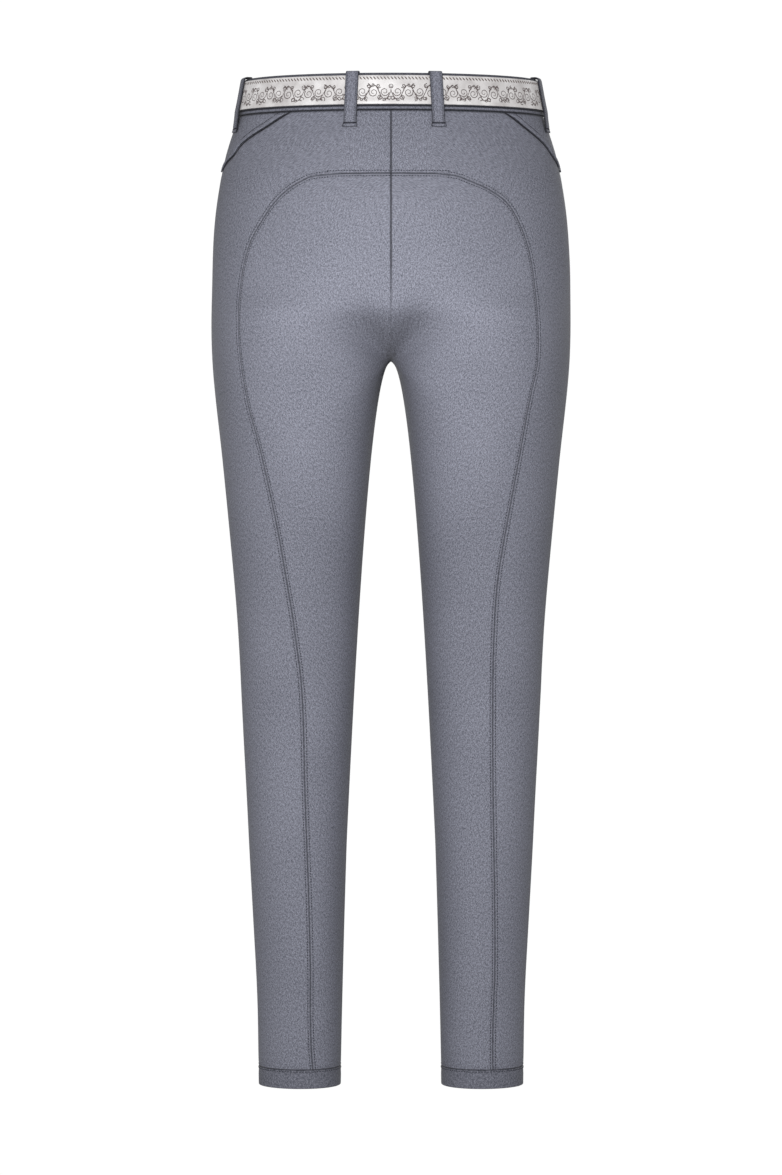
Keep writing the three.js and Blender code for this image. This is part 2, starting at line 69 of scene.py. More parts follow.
cut = dict(
    waistTop=18, waistSeam=-18, yokeSeam=-81, crotch=-262, hemSeam=-966, hemBottom=-985,
    seatRise=95, thighBlend=110, legSpread=2.02, ankleTaper=0.14, calf=-740,
    hipTurn=-59, sideSeam=-92, sideAngle=pi / 2 - 0.06, gap=0.3, cloth=1.2,
    lobePower=32, gapEase=30)


def column(rows, name, z):
    heights, values = rows["z"], rows[name]
    z = np.asarray(z, float)
    last = len(heights) - 1
    k = np.clip(np.searchsorted(-heights, -z, side="right") - 1, 0, last - 1)
    a, b, c, d = (np.clip(k + i, 0, last) for i in (-1, 0, 1, 2))
    step = heights[c] - heights[b]
    t = np.clip((z - heights[b]) / step, -0.2, 1.2)
    upper = (values[c] - values[a]) / (heights[c] - heights[a]) * step
    lower = (values[d] - values[b]) / (heights[d] - heights[b]) * step
    t2, t3 = t * t, t * t * t
    return (values[b] * (2 * t3 - 3 * t2 + 1) + upper * (t3 - 2 * t2 + t)
            + values[c] * (3 * t2 - 2 * t3) + lower * (t3 - t2))


# how far the legs have merged into the trunk: quick at the centre seams, slow round the outside
def mergeAt(angle, z):
    facing = np.abs(np.cos(angle))
    start = cut["crotch"] - cut["thighBlend"] * (1 - facing ** 4)
    t = np.clip((z - start) / (cut["crotch"] + cut["seatRise"] - start), 0, 1)
    return (2 * t - t * t) ** (2 - 1.5 * facing ** 24)


def lobeHeight(angle, z):
    merge = mergeAt(angle, z)
    return np.abs(np.cos(angle)) * np.sqrt(merge ** 2 + (1 - merge ** 2) * 4 * np.sin(angle) ** 2)


def tallestLobe(z):
    levels, back = np.unique(np.asarray(z, float), return_inverse=True)
    spread = np.linspace(0, pi / 2, 201)
    power = cut["lobePower"]
    tallest = (lobeHeight(spread[None, :], levels[:, None]) ** power).mean(axis=1)
    same = (np.cos(spread) ** power).mean()
    return ((tallest / same) ** (1 / power))[back].reshape(np.shape(z))


# point on the outside of the left half, in mm: angle 0 is the centre front or the front of the inseam,
# pi / 2 the outside of the leg and pi the centre back or the back of the inseam
def skin(angle, z):
    angle, z = np.broadcast_arrays(np.asarray(angle, float), np.asarray(z, float))
    drop = np.maximum(cut["crotch"] - z, 0)
    taper = np.clip((cut["calf"] - z) / (cut["calf"] - cut["hemBottom"]), 0, 1) * cut["ankleTaper"]
    ease = cut["gapEase"] * (1 - np.abs(np.cos(angle)) ** 8) + 1e-9
    inner = (cut["legSpread"] - taper) * drop ** 2 / (drop + ease) ** 1.5
    width = column(outline, "outer", z) - inner
    merge = mergeAt(angle, z)
    s = np.sin(angle)
    depth = np.where(angle < pi / 2, column(outline, "front", z), column(outline, "back", z))
    x = inner + width * ((1 - merge) * s * s + merge * s)
    y = -np.sign(np.cos(angle)) * lobeHeight(angle, z) * depth / tallestLobe(z)
    return np.stack([x, y, z], axis=-1)


def outward(angle, z):
    angle, z = np.broadcast_arrays(np.asarray(angle, float), np.asarray(z, float))
    turn, climb = 0.004, 0.125
    a = np.clip(angle, turn, pi - turn)
    around = skin(a + turn, z) - skin(a - turn, z)
    high = np.where(z > cut["crotch"], np.maximum(z, cut["crotch"] + 2 * climb),
                    np.minimum(z, cut["crotch"] - 2 * climb))
    up = skin(a, high + climb) - skin(a, high - climb)
    normal = np.cross(around, up)
    centre = ((angle < turn) | (angle > pi - turn)) & (z > cut["crotch"])
    normal[..., 0] = np.where(centre, 0, normal[..., 0])
    return normal / np.linalg.norm(normal, axis=-1, keepdims=True)


def backAngle(out, z):
    out, z = np.broadcast_arrays(np.asarray(out, float), np.asarray(z, float))
    low, high = np.full(z.shape, pi / 2), np.full(z.shape, pi)
    for _ in range(36):
        middle = (low + high) / 2
        beyond = skin(middle, z)[..., 0] > out
        low, high = np.where(beyond, middle, low), np.where(beyond, high, middle)
    return (low + high) / 2


def seatAngle(side, z):
    return backAngle(column(seatSeam, side, z), z)


def hipAngle(side, z):
    z = np.asarray(z, float)
    turn = cut["hipTurn"]
    above = backAngle(column(hipSeam, side, np.maximum(z, turn)), np.maximum(z, turn))
    t = np.clip((turn - z) / (turn - cut["sideSeam"]), 0, 1)
    below = above + (cut["sideAngle"] - above) * (1 - (1 - t) ** 2)
    return np.where(z >= turn, above, below)


# distance run at each point of a line, from the steps between its points
def runningLength(steps):
    return np.concatenate([[0], np.cumsum(steps)])


# the two faces that close the ends of a body made of equal rings
def endCaps(rows, columns):
    return [tuple(range(columns)), tuple(reversed(range((rows - 1) * columns, rows * columns)))]


# ---- rows, columns and seams
# mm in from a sewn edge, where the cloth dips to its seam
edgeSteps = np.array([0.4, 1.0, 1.8, 2.7, 3.7, 5.0])


def rowsBetween(top, bottom, step, topEdge=True, bottomEdge=True):
    upper = top - (np.concatenate([[0], edgeSteps]) if topEdge else np.array([0.0]))
    lower = bottom + (np.concatenate([edgeSteps[::-1], [0]]) if bottomEdge else np.array([0.0]))
    count = max(int(round((upper[-1] - lower[0]) / step)), 1)
    return np.concatenate([upper, np.linspace(upper[-1], lower[0], count + 1)[1:-1], lower])


half = cut["gap"] / 2
yokeRows = rowsBetween(cut["waistSeam"] - half, cut["yokeSeam"] + half, 4)
crotchRows = cut["crotch"] + np.array([
    34, 30, 26, 22, 18, 14.5, 11.5, 9, 7, 5.2, 3.8, 2.6, 1.6, 0.9, 0.4, 0.1,
    0, -0.1, -0.4, -1, -2, -3.4, -5.2, -7.4, -10, -13, -16.5])
legRows = rowsBetween(crotchRows[-1] - 4, cut["hemSeam"] + half, 4, topEdge=False)


# rows below the yoke follow the seat seam, close together where it runs level
def seatRows(side):
    z = np.linspace(cut["yokeSeam"] - half, crotchRows[0] + 4, 4000)
    x = column(seatSeam, side, z)
    run = runningLength(np.hypot(np.diff(x), np.diff(z)))
    return np.concatenate([np.interp(np.arange(0, run[-1], 3.2), run, z), [z[-1]]])


# angles of a ring's columns from one seam to another, with the fine steps at both edges
def ringAngles(z, start, end, count):
    share = np.linspace(0, 1, 140)
    angles = start[:, None] + (end - start)[:, None] * share
    points = skin(angles, z[:, None])
    run = np.concatenate([np.zeros((len(z), 1)),
                          np.cumsum(np.linalg.norm(np.diff(points, axis=1), axis=-1), axis=1)], axis=1)
    total = run[:, -1:]
    edge = np.concatenate([[0.0], edgeSteps])
    middle = np.linspace(0, 1, count + 2)[1:-1]
    inner = edge[-1] + (total - 2 * edge[-1]) * middle
    wanted = np.concatenate([np.broadcast_to(edge, (len(z), len(edge))), inner, total - edge[::-1]], axis=1)
    rows = [np.interp(wanted[r], run[r], angles[r]) for r in range(len(z))]
    return np.array(rows), wanted


def block(z, start, end, count):
    angles, across = ringAngles(z, start, end, count)
    heights = np.broadcast_to(z[:, None], angles.shape)
    return dict(angle=angles, z=heights, point=skin(angles, heights), normal=outward(angles, heights),
                across=across)


def joinAcross(first, second):
    return {key: np.concatenate([first[key], second[key][:, 1:]], axis=1) for key in first}


# distance in mm from points to a run of points
def distanceTo(points, line):
    found = np.full(len(points), 1e9)
    for start in range(0, len(points), 4000):
        part = points[start:start + 4000]
        near = np.linalg.norm(part[:, None, :] - line[None, :, :], axis=2).argmin(axis=1)
        best = np.full(len(part), 1e9)
        for shift in (-1, 0):
            a = line[np.clip(near + shift, 0, len(line) - 2)]
            b = line[np.clip(near + shift, 0, len(line) - 2) + 1]
            t = np.clip(((part - a) * (b - a)).sum(1) / np.maximum(((b - a) ** 2).sum(1), 1e-9), 0, 1)
            best = np.minimum(best, np.linalg.norm(part - a - (b - a) * t[:, None], axis=1))
        found[start:start + 4000] = best
    return found


def denseRows(top, bottom, step=2.0):
    return np.linspace(top, bottom, int(abs(top - bottom) / step) + 2)


# angle and height of spots that lie a distance to one side of a run of spots on the cloth
def alongside(angle, z, offset):
    point, normal = skin(angle, z), outward(angle, z)
    tangent = np.gradient(point, axis=0)
    tangent /= np.linalg.norm(tangent, axis=1, keepdims=True)
    wanted = np.cross(normal, tangent) * offset
    perAngle = (skin(angle + 0.002, z) - skin(angle - 0.002, z)) / 0.004
    perHeight = (skin(angle, z + 0.05) - skin(angle, z - 0.05)) / 0.1
    aa, ah, hh = (perAngle ** 2).sum(1), (perAngle * perHeight).sum(1), (perHeight ** 2).sum(1)
    wa, wh = (wanted * perAngle).sum(1), (wanted * perHeight).sum(1)
    det = aa * hh - ah * ah
    return angle + (wa * hh - wh * ah) / det, z + (wh * aa - wa * ah) / det


# how each seam shows: how dark its line is (the seam's own dark joint with painted shade in its groove), how
# far its groove sinks and how wide it is, in mm
seamLook = {
    "waist": dict(dark=1.0, sink=1.0, width=1.5), "hip": dict(dark=1.0, sink=1.0, width=1.5),
    "seat": dict(dark=0.62, sink=0.55, width=0.85), "centreBack": dict(dark=0.9, sink=0.5, width=1.05),
    "centreFront": dict(dark=0.5, sink=0.4, width=0.7), "inseam": dict(dark=0.45, sink=0.4, width=0.8),
    "side": dict(dark=0.5, sink=0.45, width=0.8), "hem": dict(dark=0.55, sink=0.45, width=0.8),
}


def seamLines(side):
    torso = denseRows(cut["waistSeam"], cut["crotch"], 1.5)
    legs = denseRows(cut["crotch"], cut["hemBottom"], 3)
    hip = denseRows(cut["waistSeam"], cut["sideSeam"], 1.0)
    below = denseRows(cut["sideSeam"], cut["hemBottom"], 3)
    arch = np.concatenate([seatRows(side), denseRows(crotchRows[0], cut["hemBottom"], 3)])
    ring = np.linspace(0, pi, 260)
    archLine = skin(seatAngle(side, arch), arch)
    level = skin(np.linspace(pi, float(seatAngle(side, cut["yokeSeam"])), 24), cut["yokeSeam"])
    return {
        "waist": skin(ring, cut["waistSeam"]), "hem": skin(ring, cut["hemSeam"]),
        "hip": skin(hipAngle(side, hip), hip), "side": skin(hipAngle(side, below), below),
        "seat": np.concatenate([level, archLine]),
        "centreBack": skin(pi, torso), "centreFront": skin(0, torso),
        "inseam": np.concatenate([skin(pi, legs)]),
    }


seams = {side: seamLines(side) for side in ("left", "right")}

# soft folds placed one by one: from one spot to another (angle, height), width, depth (+ stands out, - sinks)
folds = {
    "left": [
        (2.35, -668, 3.05, -690, 9, -0.9), (2.2, -640, 2.9, -652, 11, 0.7), (2.5, -712, 3.05, -700, 10, 0.6),
        (2.0, -300, 3.0, -282, 12, -0.8), (2.3, -330, 3.05, -318, 15, 0.6), (2.4, -560, 2.0, -470, 16, -0.7),
        (2.6, -800, 2.3, -900, 12, 0.7), (2.05, -880, 2.6, -930, 9, -0.6), (2.8, -905, 2.2, -944, 8, 0.6),
        (0.12, -250, 0.95, -196, 11, -1.3), (0.15, -268, 1.2, -246, 9, 1.0), (0.1, -285, 0.9, -318, 12, -1.1),
        (0.35, -610, 1.25, -590, 13, 0.9), (0.3, -655, 1.1, -640, 10, -0.9), (0.5, -900, 1.2, -925, 9, -0.7),
        (1.2, -700, 1.5, -560, 15, -0.8), (1.3, -130, 1.55, -240, 18, -0.9)],
    "right": [
        (2.3, -652, 3.0, -684, 10, -0.8), (2.25, -628, 2.8, -636, 12, 0.6), (2.45, -704, 3.1, -712, 9, 0.7),
        (2.1, -292, 3.02, -276, 10, -0.9), (2.2, -345, 3.0, -322, 16, 0.6), (2.2, -520, 2.5, -430, 15, -0.6),
        (2.7, -780, 2.4, -880, 13, -0.6), (2.0, -860, 2.5, -915, 10, 0.6), (2.9, -920, 2.3, -936, 7, -0.6),
        (0.1, -244, 0.85, -205, 10, -1.2), (0.16, -272, 1.1, -262, 10, 1.1),
        (0.12, -296, 1.0, -336, 13, -0.9),
        (0.3, -600, 1.2, -604, 12, 0.8), (0.35, -648, 1.15, -660, 11, -1.0), (0.45, -915, 1.1, -934, 8, 0.7),
        (1.25, -690, 1.5, -580, 14, 0.7), (1.25, -150, 1.5, -250, 16, -0.8)],
}


def foldField(side, angle, z):
    around = angle * 95
    total = np.zeros(np.shape(z))
    for a0, z0, a1, z1, width, depth in folds[side]:
        x0, x1 = a0 * 95, a1 * 95
        length = math.hypot(x1 - x0, z1 - z0)
        dx, dz = (x1 - x0) / length, (z1 - z0) / length
        along = ((around - x0) * dx + (z - z0) * dz) / length
        bow = 0.1 * length * np.sin(np.clip(along, 0, 1) * pi)
        off = (around - x0) * -dz + (z - z0) * dx - bow
        fade = np.clip(1 - np.abs(along - 0.5) / 0.62, 0, 1)
        total += depth * np.exp(-(off / width) ** 2) * fade * fade * (3 - 2 * fade)
    slow = 0.35 * np.sin(z / 47 + angle * 2.3) * np.sin(z / 83 - angle * 3.1)
    return total + slow * np.clip((-40 - z) / 80, 0, 1)


# the cloth's folds fade out at the centre seams, the waist and the hem
def foldShift(side, angle, z):
    fade = np.clip(6 * np.sin(angle), 0, 1) * np.clip((cut["waistSeam"] - z) / 25, 0, 1)
    return foldField(side, angle, z) * fade * np.clip((z - cut["hemSeam"]) / 15, 0, 1)


# ---- meshes
def meshObject(name, points, faces, uv=None, marks=None, material=None, smooth=True):
    points = np.asarray(points, float) * mm
    mesh = bpy.data.meshes.new(name)
    mesh.from_pydata(points.tolist(), [], [tuple(int(v) for v in face) for face in faces])
    mesh.validate()
    mesh.calc_loop_triangles()
    tris = np.zeros(len(mesh.loop_triangles) * 3, int)
    mesh.loop_triangles.foreach_get("vertices", tris)
    a, b, c = (points[tris.reshape(-1, 3)[:, k]] for k in range(3))
    if (a * np.cross(b, c)).sum() < 0:
        mesh.flip_normals()
    if uv is not None:
        layer = mesh.uv_layers.new(name="clothUV")
        corner = np.zeros(len(mesh.loops), int)
        mesh.loops.foreach_get("vertex_index", corner)
        layer.data.foreach_set("uv", (np.asarray(uv, float)[corner] * mm).ravel())
    if marks is not None:
        layer = mesh.attributes.new("seam", "FLOAT", "POINT")
        layer.data.foreach_set("value", np.asarray(marks, float))
    if smooth:
        mesh.polygons.foreach_set("use_smooth", [True] * len(mesh.polygons))
    if material:
        mesh.materials.append(material)
    obj = bpy.data.objects.new(name, mesh)
    bpy.context.scene.collection.objects.link(obj)
    return obj


def gridFaces(rows, columns, start=0, closedAcross=False, closedDown=False):
    faces = []
    for r in range(rows if closedDown else rows - 1):
        for k in range(columns if closedAcross else columns - 1):
            a = start + r * columns + k
            b = start + r * columns + (k + 1) % columns
            c = start + ((r + 1) % rows) * columns + k
            d = start + ((r + 1) % rows) * columns + (k + 1) % columns
            faces.append((a, c, d, b))
    return faces


# closes an outer sheet into a wall of cloth
def wallOf(points, normals, faces, thickness):
    count = len(points)
    edges = {}
    for face in faces:
        for a, b in zip(face, face[1:] + face[:1]):
            if (b, a) in edges:
                del edges[(b, a)]
            else:
                edges[(a, b)] = True
    inner = [tuple(v + count for v in reversed(face)) for face in faces]
    rim = [(b, a, a + count, b + count) for a, b in edges]
    return np.concatenate([points, points - normals * thickness]), faces + inner + rim


def seamDip(side, points, names):
    sink, dark = np.zeros(len(points)), np.zeros(len(points))
    for name in names:
        look = seamLook[name]
        away = distanceTo(points, seams[side][name])
        fade = np.clip((points[:, 2] + 230) / 60, 0.12, 1) if name == "centreBack" else 1
        sink -= look["sink"] * fade * np.exp(-(away / look["width"]) ** 2)
        # dark line along the seam: partly the seam's own dark joint, partly painted shade in its groove
        dark = np.maximum(dark, look["dark"] * fade * np.exp(-(away / (look["width"] * 0.85)) ** 2))
        # seat and hem seams: a slight ridge beside the line, then painted shade in the small groove just past
        # it
        if name in ("seat", "hem"):
            sink += 0.2 * np.exp(-((away - 1.5) / 0.8) ** 2) - 0.2 * np.exp(-((away - 2.7) / 0.5) ** 2)
            dark = np.maximum(dark, 0.16 * np.exp(-((away - 2.7) / 0.6) ** 2))
    return np.maximum(sink, -1.1), dark


def panel(name, side, blocks, links, seamNames, material):
    points = np.concatenate([b["point"].reshape(-1, 3) for b in blocks])
    normals = np.concatenate([b["normal"].reshape(-1, 3) for b in blocks])
    angles = np.concatenate([b["angle"].ravel() for b in blocks])
    heights = np.concatenate([b["z"].ravel() for b in blocks])
    across = np.concatenate([b["across"].ravel() for b in blocks])
    sink, dark = seamDip(side, points, seamNames)
    shift = sink + foldShift(side, angles, heights)
    moved = points + normals * shift[:, None]
    faces, start = [], 0
    for b in blocks:
        faces += gridFaces(*b["z"].shape, start=start)
        start += b["z"].size
    faces += links
    if side == "right":
        moved, normals = moved * [-1, 1, 1], normals * [-1, 1, 1]
        faces = [tuple(reversed(f)) for f in faces]
    allPoints, allFaces = wallOf(moved, normals, faces, cut["cloth"])
    uv = np.stack([across, heights], axis=1)
    obj = meshObject(name, allPoints, allFaces, uv=np.tile(uv, (2, 1)), marks=np.tile(dark, 2),
                     material=material)
    print(f"{name}: {len(allFaces)} faces, {sheetArea(obj) / 2:.4f} m2")
    return obj


def sheetArea(obj):
    return sum(p.area for p in obj.data.polygons)


def mirror(side):
    return np.array([-1.0 if side == "right" else 1.0, 1, 1])


# a run of spots on the outside of the cloth, with the direction each one faces
def clothRun(side, angle, z, lift):
    normal = outward(angle, z)
    point = skin(angle, z) + normal * (foldShift(side, angle, z) + lift)[:, None]
    return point * mirror(side), normal * mirror(side)


# point over the waistband at a turn round the waist: 0 at the centre front, then left, back and right
def waistPoint(turn, z, lift=0.0):
    turn, z, lift = np.broadcast_arrays(*(np.asarray(v, float) for v in (turn, z, lift)))
    around = np.mod(turn, 2 * pi)
    angle = np.where(around <= pi, around, 2 * pi - around)
    flip = np.where(around <= pi, 1.0, -1.0)
    normal = outward(angle, z)
    centre = (angle < 0.004) | (angle > pi - 0.004)
    normal[..., 0] = np.where(centre, 0, normal[..., 0])
    normal[..., 2] = 0
    normal /= np.linalg.norm(normal, axis=-1, keepdims=True)
    point = skin(angle, z) + normal * lift[..., None]
    point[..., 0] *= flip
    normal[..., 0] *= flip
    return point, normal


# closed loop of a rounded rectangle in two measures, from low to high in each
def roundedLoop(lowA, highA, lowB, highB, radius, steps=4, fill=3):
    corners = [(highA - radius, lowB + radius, -90), (highA - radius, highB - radius, 0),
               (lowA + radius, highB - radius, 90), (lowA + radius, lowB + radius, 180)]
    loop = []
    for k, (a, b, start) in enumerate(corners):
        for step in range(steps + 1):
            t = math.radians(start + 90 * step / steps)
            loop.append((a + radius * math.cos(t), b + radius * math.sin(t)))
        after = corners[(k + 1) % 4]
        t = math.radians(after[2])
        end = np.array([after[0] + radius * math.cos(t), after[1] + radius * math.sin(t)])
        here = np.array(loop[-1])
        loop += [tuple(here + (end - here) * (i + 1) / (fill + 1)) for i in range(fill)]
    return np.array(loop)


# a solid swept round the waist: each section is a loop of (lift, height)
def sweptRound(name, turns, sections, material, marks=None):
    lift, z = sections[..., 0], sections[..., 1]
    points, _ = waistPoint(turns[:, None], z, lift)
    rows, columns = z.shape
    faces = gridFaces(rows, columns, closedAcross=True)
    faces += endCaps(rows, columns)
    middle, _ = waistPoint(turns, (belt["top"] + belt["bottom"]) / 2)
    along = runningLength(np.linalg.norm(np.diff(middle, axis=0), axis=1))
    uv = np.stack([np.broadcast_to(along[:, None], z.shape), z + 0.6 * lift], axis=-1)
    return meshObject(name, points.reshape(-1, 3), faces, uv=uv.reshape(-1, 2), material=material,
                      marks=None if marks is None else marks.ravel())


# evens out and softens a path of (lift, height, width share)
def softPath(path, step=0.8, passes=3):
    path = np.array(path, float)
    run = runningLength(np.hypot(*np.diff(path[:, :2], axis=0).T))
    spots = np.linspace(0, run[-1], int(run[-1] / step) + 2)
    soft = np.stack([np.interp(spots, run, path[:, k]) for k in range(path.shape[1])], axis=1)
    for _ in range(passes):
        soft[1:-1] = (soft[:-2] + 2 * soft[1:-1] + soft[2:]) / 4
    return soft


def bentStrip(name, turn, width, path, thickness, material, rounding=0.5, shadeLinesAt=()):
    path = softPath(path, 0.5, 6)
    slope = np.gradient(path[:, :2], axis=0)
    slope /= np.linalg.norm(slope, axis=1, keepdims=True)
    outShare, upShare = -slope[:, 1], slope[:, 0]
    centre, _ = waistPoint(turn, path[:, 1])
    beside, _ = waistPoint(turn + 0.01, path[:, 1])
    pace = np.linalg.norm(beside - centre, axis=1) / 0.01
    across = roundedLoop(-width / 2, width / 2, -thickness, 0, rounding, steps=3, fill=4)
    s, t = across[:, 0], across[:, 1]
    turns = turn + s[None, :] * path[:, 2:3] / pace[:, None]
    z = path[:, 1:2] + t[None, :] * upShare[:, None]
    lift = path[:, 0:1] + t[None, :] * outShare[:, None]
    points, _ = waistPoint(turns, z, lift)
    rows, columns = z.shape
    faces = gridFaces(rows, columns, closedAcross=True)
    faces += endCaps(rows, columns)
    run = runningLength(np.hypot(*np.diff(path[:, :2], axis=0).T))
    uv = np.stack([np.broadcast_to(s, z.shape), np.broadcast_to(-run[:, None], z.shape)], axis=-1)
    # painted shade: the strip's back, facing the belt, and its side edges are darkened, and dark lines are
    # painted at the given heights
    shadeBehind = np.clip((-t - 0.1) / 0.4, 0, 1) * 0.9
    shadeAtEdges = 0.75 * np.clip((np.abs(s) - width / 2 + 0.9) / 0.6, 0, 1)
    marks = np.broadcast_to(np.maximum(shadeBehind, shadeAtEdges), z.shape).copy()
    for height in shadeLinesAt:
        marks = np.maximum(marks, 0.97 * np.exp(-((z - height) / 0.65) ** 2))
    return meshObject(name, points.reshape(-1, 3), faces, uv=uv.reshape(-1, 2), material=material,
                      marks=marks.ravel())


# ---- shading
def addNode(tree, kind, inputs=None, **fields):
    node = tree.nodes.new(kind)
    for field, value in fields.items():
        setattr(node, field, value)
    for socket, value in (inputs or {}).items():
        if isinstance(value, bpy.types.NodeSocket):
            tree.links.new(value, node.inputs[socket])
        else:
            node.inputs[socket].default_value = value
    return node


def newGroup(name, inputs, outputs):
    tree = bpy.data.node_groups.new(name, "ShaderNodeTree")
    for label, kind in inputs:
        tree.interface.new_socket(label, in_out="INPUT", socket_type=kind)
    for label, kind in outputs:
        tree.interface.new_socket(label, in_out="OUTPUT", socket_type=kind)
    return tree, tree.nodes.new("NodeGroupInput"), tree.nodes.new("NodeGroupOutput")


# two-tone yarn: a diagonal speckle over broad, faint shading, with the twill's own ribs as height
def twillGroup():
    tree, given, result = newGroup(
        "twillYarn",
        [("Vector", "NodeSocketVector"), ("Dark", "NodeSocketColor"), ("Light", "NodeSocketColor")],
        [("Color", "NodeSocketColor"), ("Height", "NodeSocketFloat")])
    slanted = addNode(tree, "ShaderNodeMapping", {"Vector": given.outputs["Vector"],
                      "Rotation": (0, 0, 0.9), "Scale": (1, 0.6, 1)})
    fine = addNode(tree, "ShaderNodeTexNoise", {"Vector": slanted.outputs[0], "Scale": 1150, "Detail": 1,
                   "Roughness": 0.6})
    middle = addNode(tree, "ShaderNodeTexNoise", {"Vector": slanted.outputs[0], "Scale": 560, "Detail": 2})
    broad = addNode(tree, "ShaderNodeTexNoise", {"Vector": given.outputs["Vector"], "Scale": 11, "Detail": 1})
    sharp = addNode(tree, "ShaderNodeMapRange", {"Value": fine.outputs[0], "From Min": 0.4, "From Max": 0.6})
    soft = addNode(tree, "ShaderNodeMapRange", {"Value": middle.outputs[0], "From Min": 0.3, "From Max": 0.7})
    both = addNode(tree, "ShaderNodeMix", {"Factor": 0.42, 2: sharp.outputs[0], 3: soft.outputs[0]})
    all3 = addNode(tree, "ShaderNodeMix", {"Factor": 0.16, 2: both.outputs[0], 3: broad.outputs[0]})
    tone = addNode(tree, "ShaderNodeMix", {"Factor": all3.outputs[0], 6: given.outputs["Dark"],
                   7: given.outputs["Light"]}, data_type="RGBA")
    ribs = addNode(tree, "ShaderNodeTexWave", {"Vector": given.outputs["Vector"], "Scale": 260,
                   "Distortion": 1.2, "Detail": 1, "Detail Scale": 2}, bands_direction="DIAGONAL")
    height = addNode(tree, "ShaderNodeMix", {"Factor": 0.5, 2: ribs.outputs["Fac"], 3: fine.outputs[0]})
    tree.links.new(tone.outputs[2], result.inputs["Color"])
    tree.links.new(height.outputs[0], result.inputs["Height"])
    return tree


# pebbled leather: cells for the grain and a slow cloudiness in the tone
def grainGroup():
    tree, given, result = newGroup(
        "leatherGrain",
        [("Vector", "NodeSocketVector"), ("Dark", "NodeSocketColor"), ("Light", "NodeSocketColor")],
        [("Color", "NodeSocketColor"), ("Height", "NodeSocketFloat"), ("Roughness", "NodeSocketFloat")])
    cells = addNode(tree, "ShaderNodeTexVoronoi", {"Vector": given.outputs["Vector"], "Scale": 900,
                    "Randomness": 1})
    cloud = addNode(tree, "ShaderNodeTexNoise", {"Vector": given.outputs["Vector"], "Scale": 70, "Detail": 3})
    wide = addNode(tree, "ShaderNodeMapRange", {"Value": cloud.outputs[0], "From Min": 0.3, "From Max": 0.7})
    tone = addNode(tree, "ShaderNodeMix", {"Factor": wide.outputs[0], 6: given.outputs["Dark"],
                   7: given.outputs["Light"]}, data_type="RGBA")
    rough = addNode(tree, "ShaderNodeMapRange", {"Value": cloud.outputs[0], "To Min": 0.3, "To Max": 0.5})
    tree.links.new(tone.outputs[2], result.inputs["Color"])
    tree.links.new(cells.outputs["Distance"], result.inputs["Height"])
    tree.links.new(rough.outputs[0], result.inputs["Roughness"])
    return tree


yarn, grain = twillGroup(), grainGroup()


def newMaterial(name, **sockets):
    material = bpy.data.materials.new(name)
    material.use_nodes = True
    shader = material.node_tree.nodes["Principled BSDF"]
    for label, value in sockets.items():
        shader.inputs[label.replace("_", " ")].default_value = value
    return material, material.node_tree, shader


def clothMaterial(name, look):
    material, tree, shader = newMaterial(name, Roughness=look["roughness"], Specular_IOR_Level=0.25,
                                         Sheen_Weight=look["sheen"], Sheen_Roughness=0.45)
    place = addNode(tree, "ShaderNodeUVMap", uv_map="clothUV")
    weave = addNode(tree, "ShaderNodeGroup", node_tree=yarn)
    tree.links.new(place.outputs[0], weave.inputs["Vector"])
    weave.inputs["Dark"].default_value = (*look["dark"], 1)
    weave.inputs["Light"].default_value = (*look["light"], 1)
    # the seam marks mix the weave towards near-black: dark seam lines, and painted shade under the belt, on
    # the hem band, at the welt edge and round the belt loops
    seam = addNode(tree, "ShaderNodeAttribute", attribute_name="seam")
    seamTone = addNode(tree, "ShaderNodeMix", {"Factor": seam.outputs["Fac"], 6: weave.outputs["Color"],
                       7: (*look["seam"], 1)}, data_type="RGBA")
    # painted shade: the colour is mixed towards black where the cloth turns away from the view, darkest at
    # the silhouette
    facing = addNode(tree, "ShaderNodeLayerWeight", {"Blend": 0.5})
    turned = addNode(tree, "ShaderNodeMath", {0: facing.outputs["Facing"], 1: 1.7}, operation="POWER")
    edgeShadeTone = addNode(tree, "ShaderNodeMix", {"Factor": look["paintedEdgeShade"], 6: seamTone.outputs[2],
                   7: (0, 0, 0, 1)}, data_type="RGBA")
    tone = addNode(tree, "ShaderNodeMix", {"Factor": turned.outputs[0], 6: seamTone.outputs[2],
                   7: edgeShadeTone.outputs[2]}, data_type="RGBA")
    bump = addNode(tree, "ShaderNodeBump", {"Strength": 0.35, "Distance": 0.0002,
                   "Height": weave.outputs["Height"]})
    tree.links.new(tone.outputs[2], shader.inputs["Base Color"])
    tree.links.new(bump.outputs[0], shader.inputs["Normal"])
    return material


# cloth: two yarn tones, the near-black for seam marks and painted shade, and the share of painted shade at
# turned-away edges
cloth = dict(dark=(0.052, 0.055, 0.072), light=(0.295, 0.303, 0.366), seam=(0.003, 0.003, 0.006),
             roughness=0.8, sheen=0.06, paintedEdgeShade=0.45)
twill = clothMaterial("clothTwill", cloth)
thread, _, _ = newMaterial("sewingThread", Base_Color=(0.014, 0.014, 0.022, 1), Roughness=0.6,
                           Specular_IOR_Level=0.2)

belt = dict(top=15.5, bottom=-13, thickness=2.4, lift=0.9, dark=(0.5, 0.476, 0.472),
            light=(0.76, 0.742, 0.742), ink=(0.125, 0.098, 0.096), cord=(0.12, 0.09, 0.08))
leather, tree, shader = newMaterial("beltLeather", Specular_IOR_Level=0.6, Metallic=0.0, Coat_Weight=0.15,
                                    Coat_Roughness=0.3)
place = addNode(tree, "ShaderNodeUVMap", uv_map="clothUV")
pebble = addNode(tree, "ShaderNodeGroup", node_tree=grain)
tree.links.new(place.outputs[0], pebble.inputs["Vector"])
pebble.inputs["Dark"].default_value = (*belt["dark"], 1)
pebble.inputs["Light"].default_value = (*belt["light"], 1)
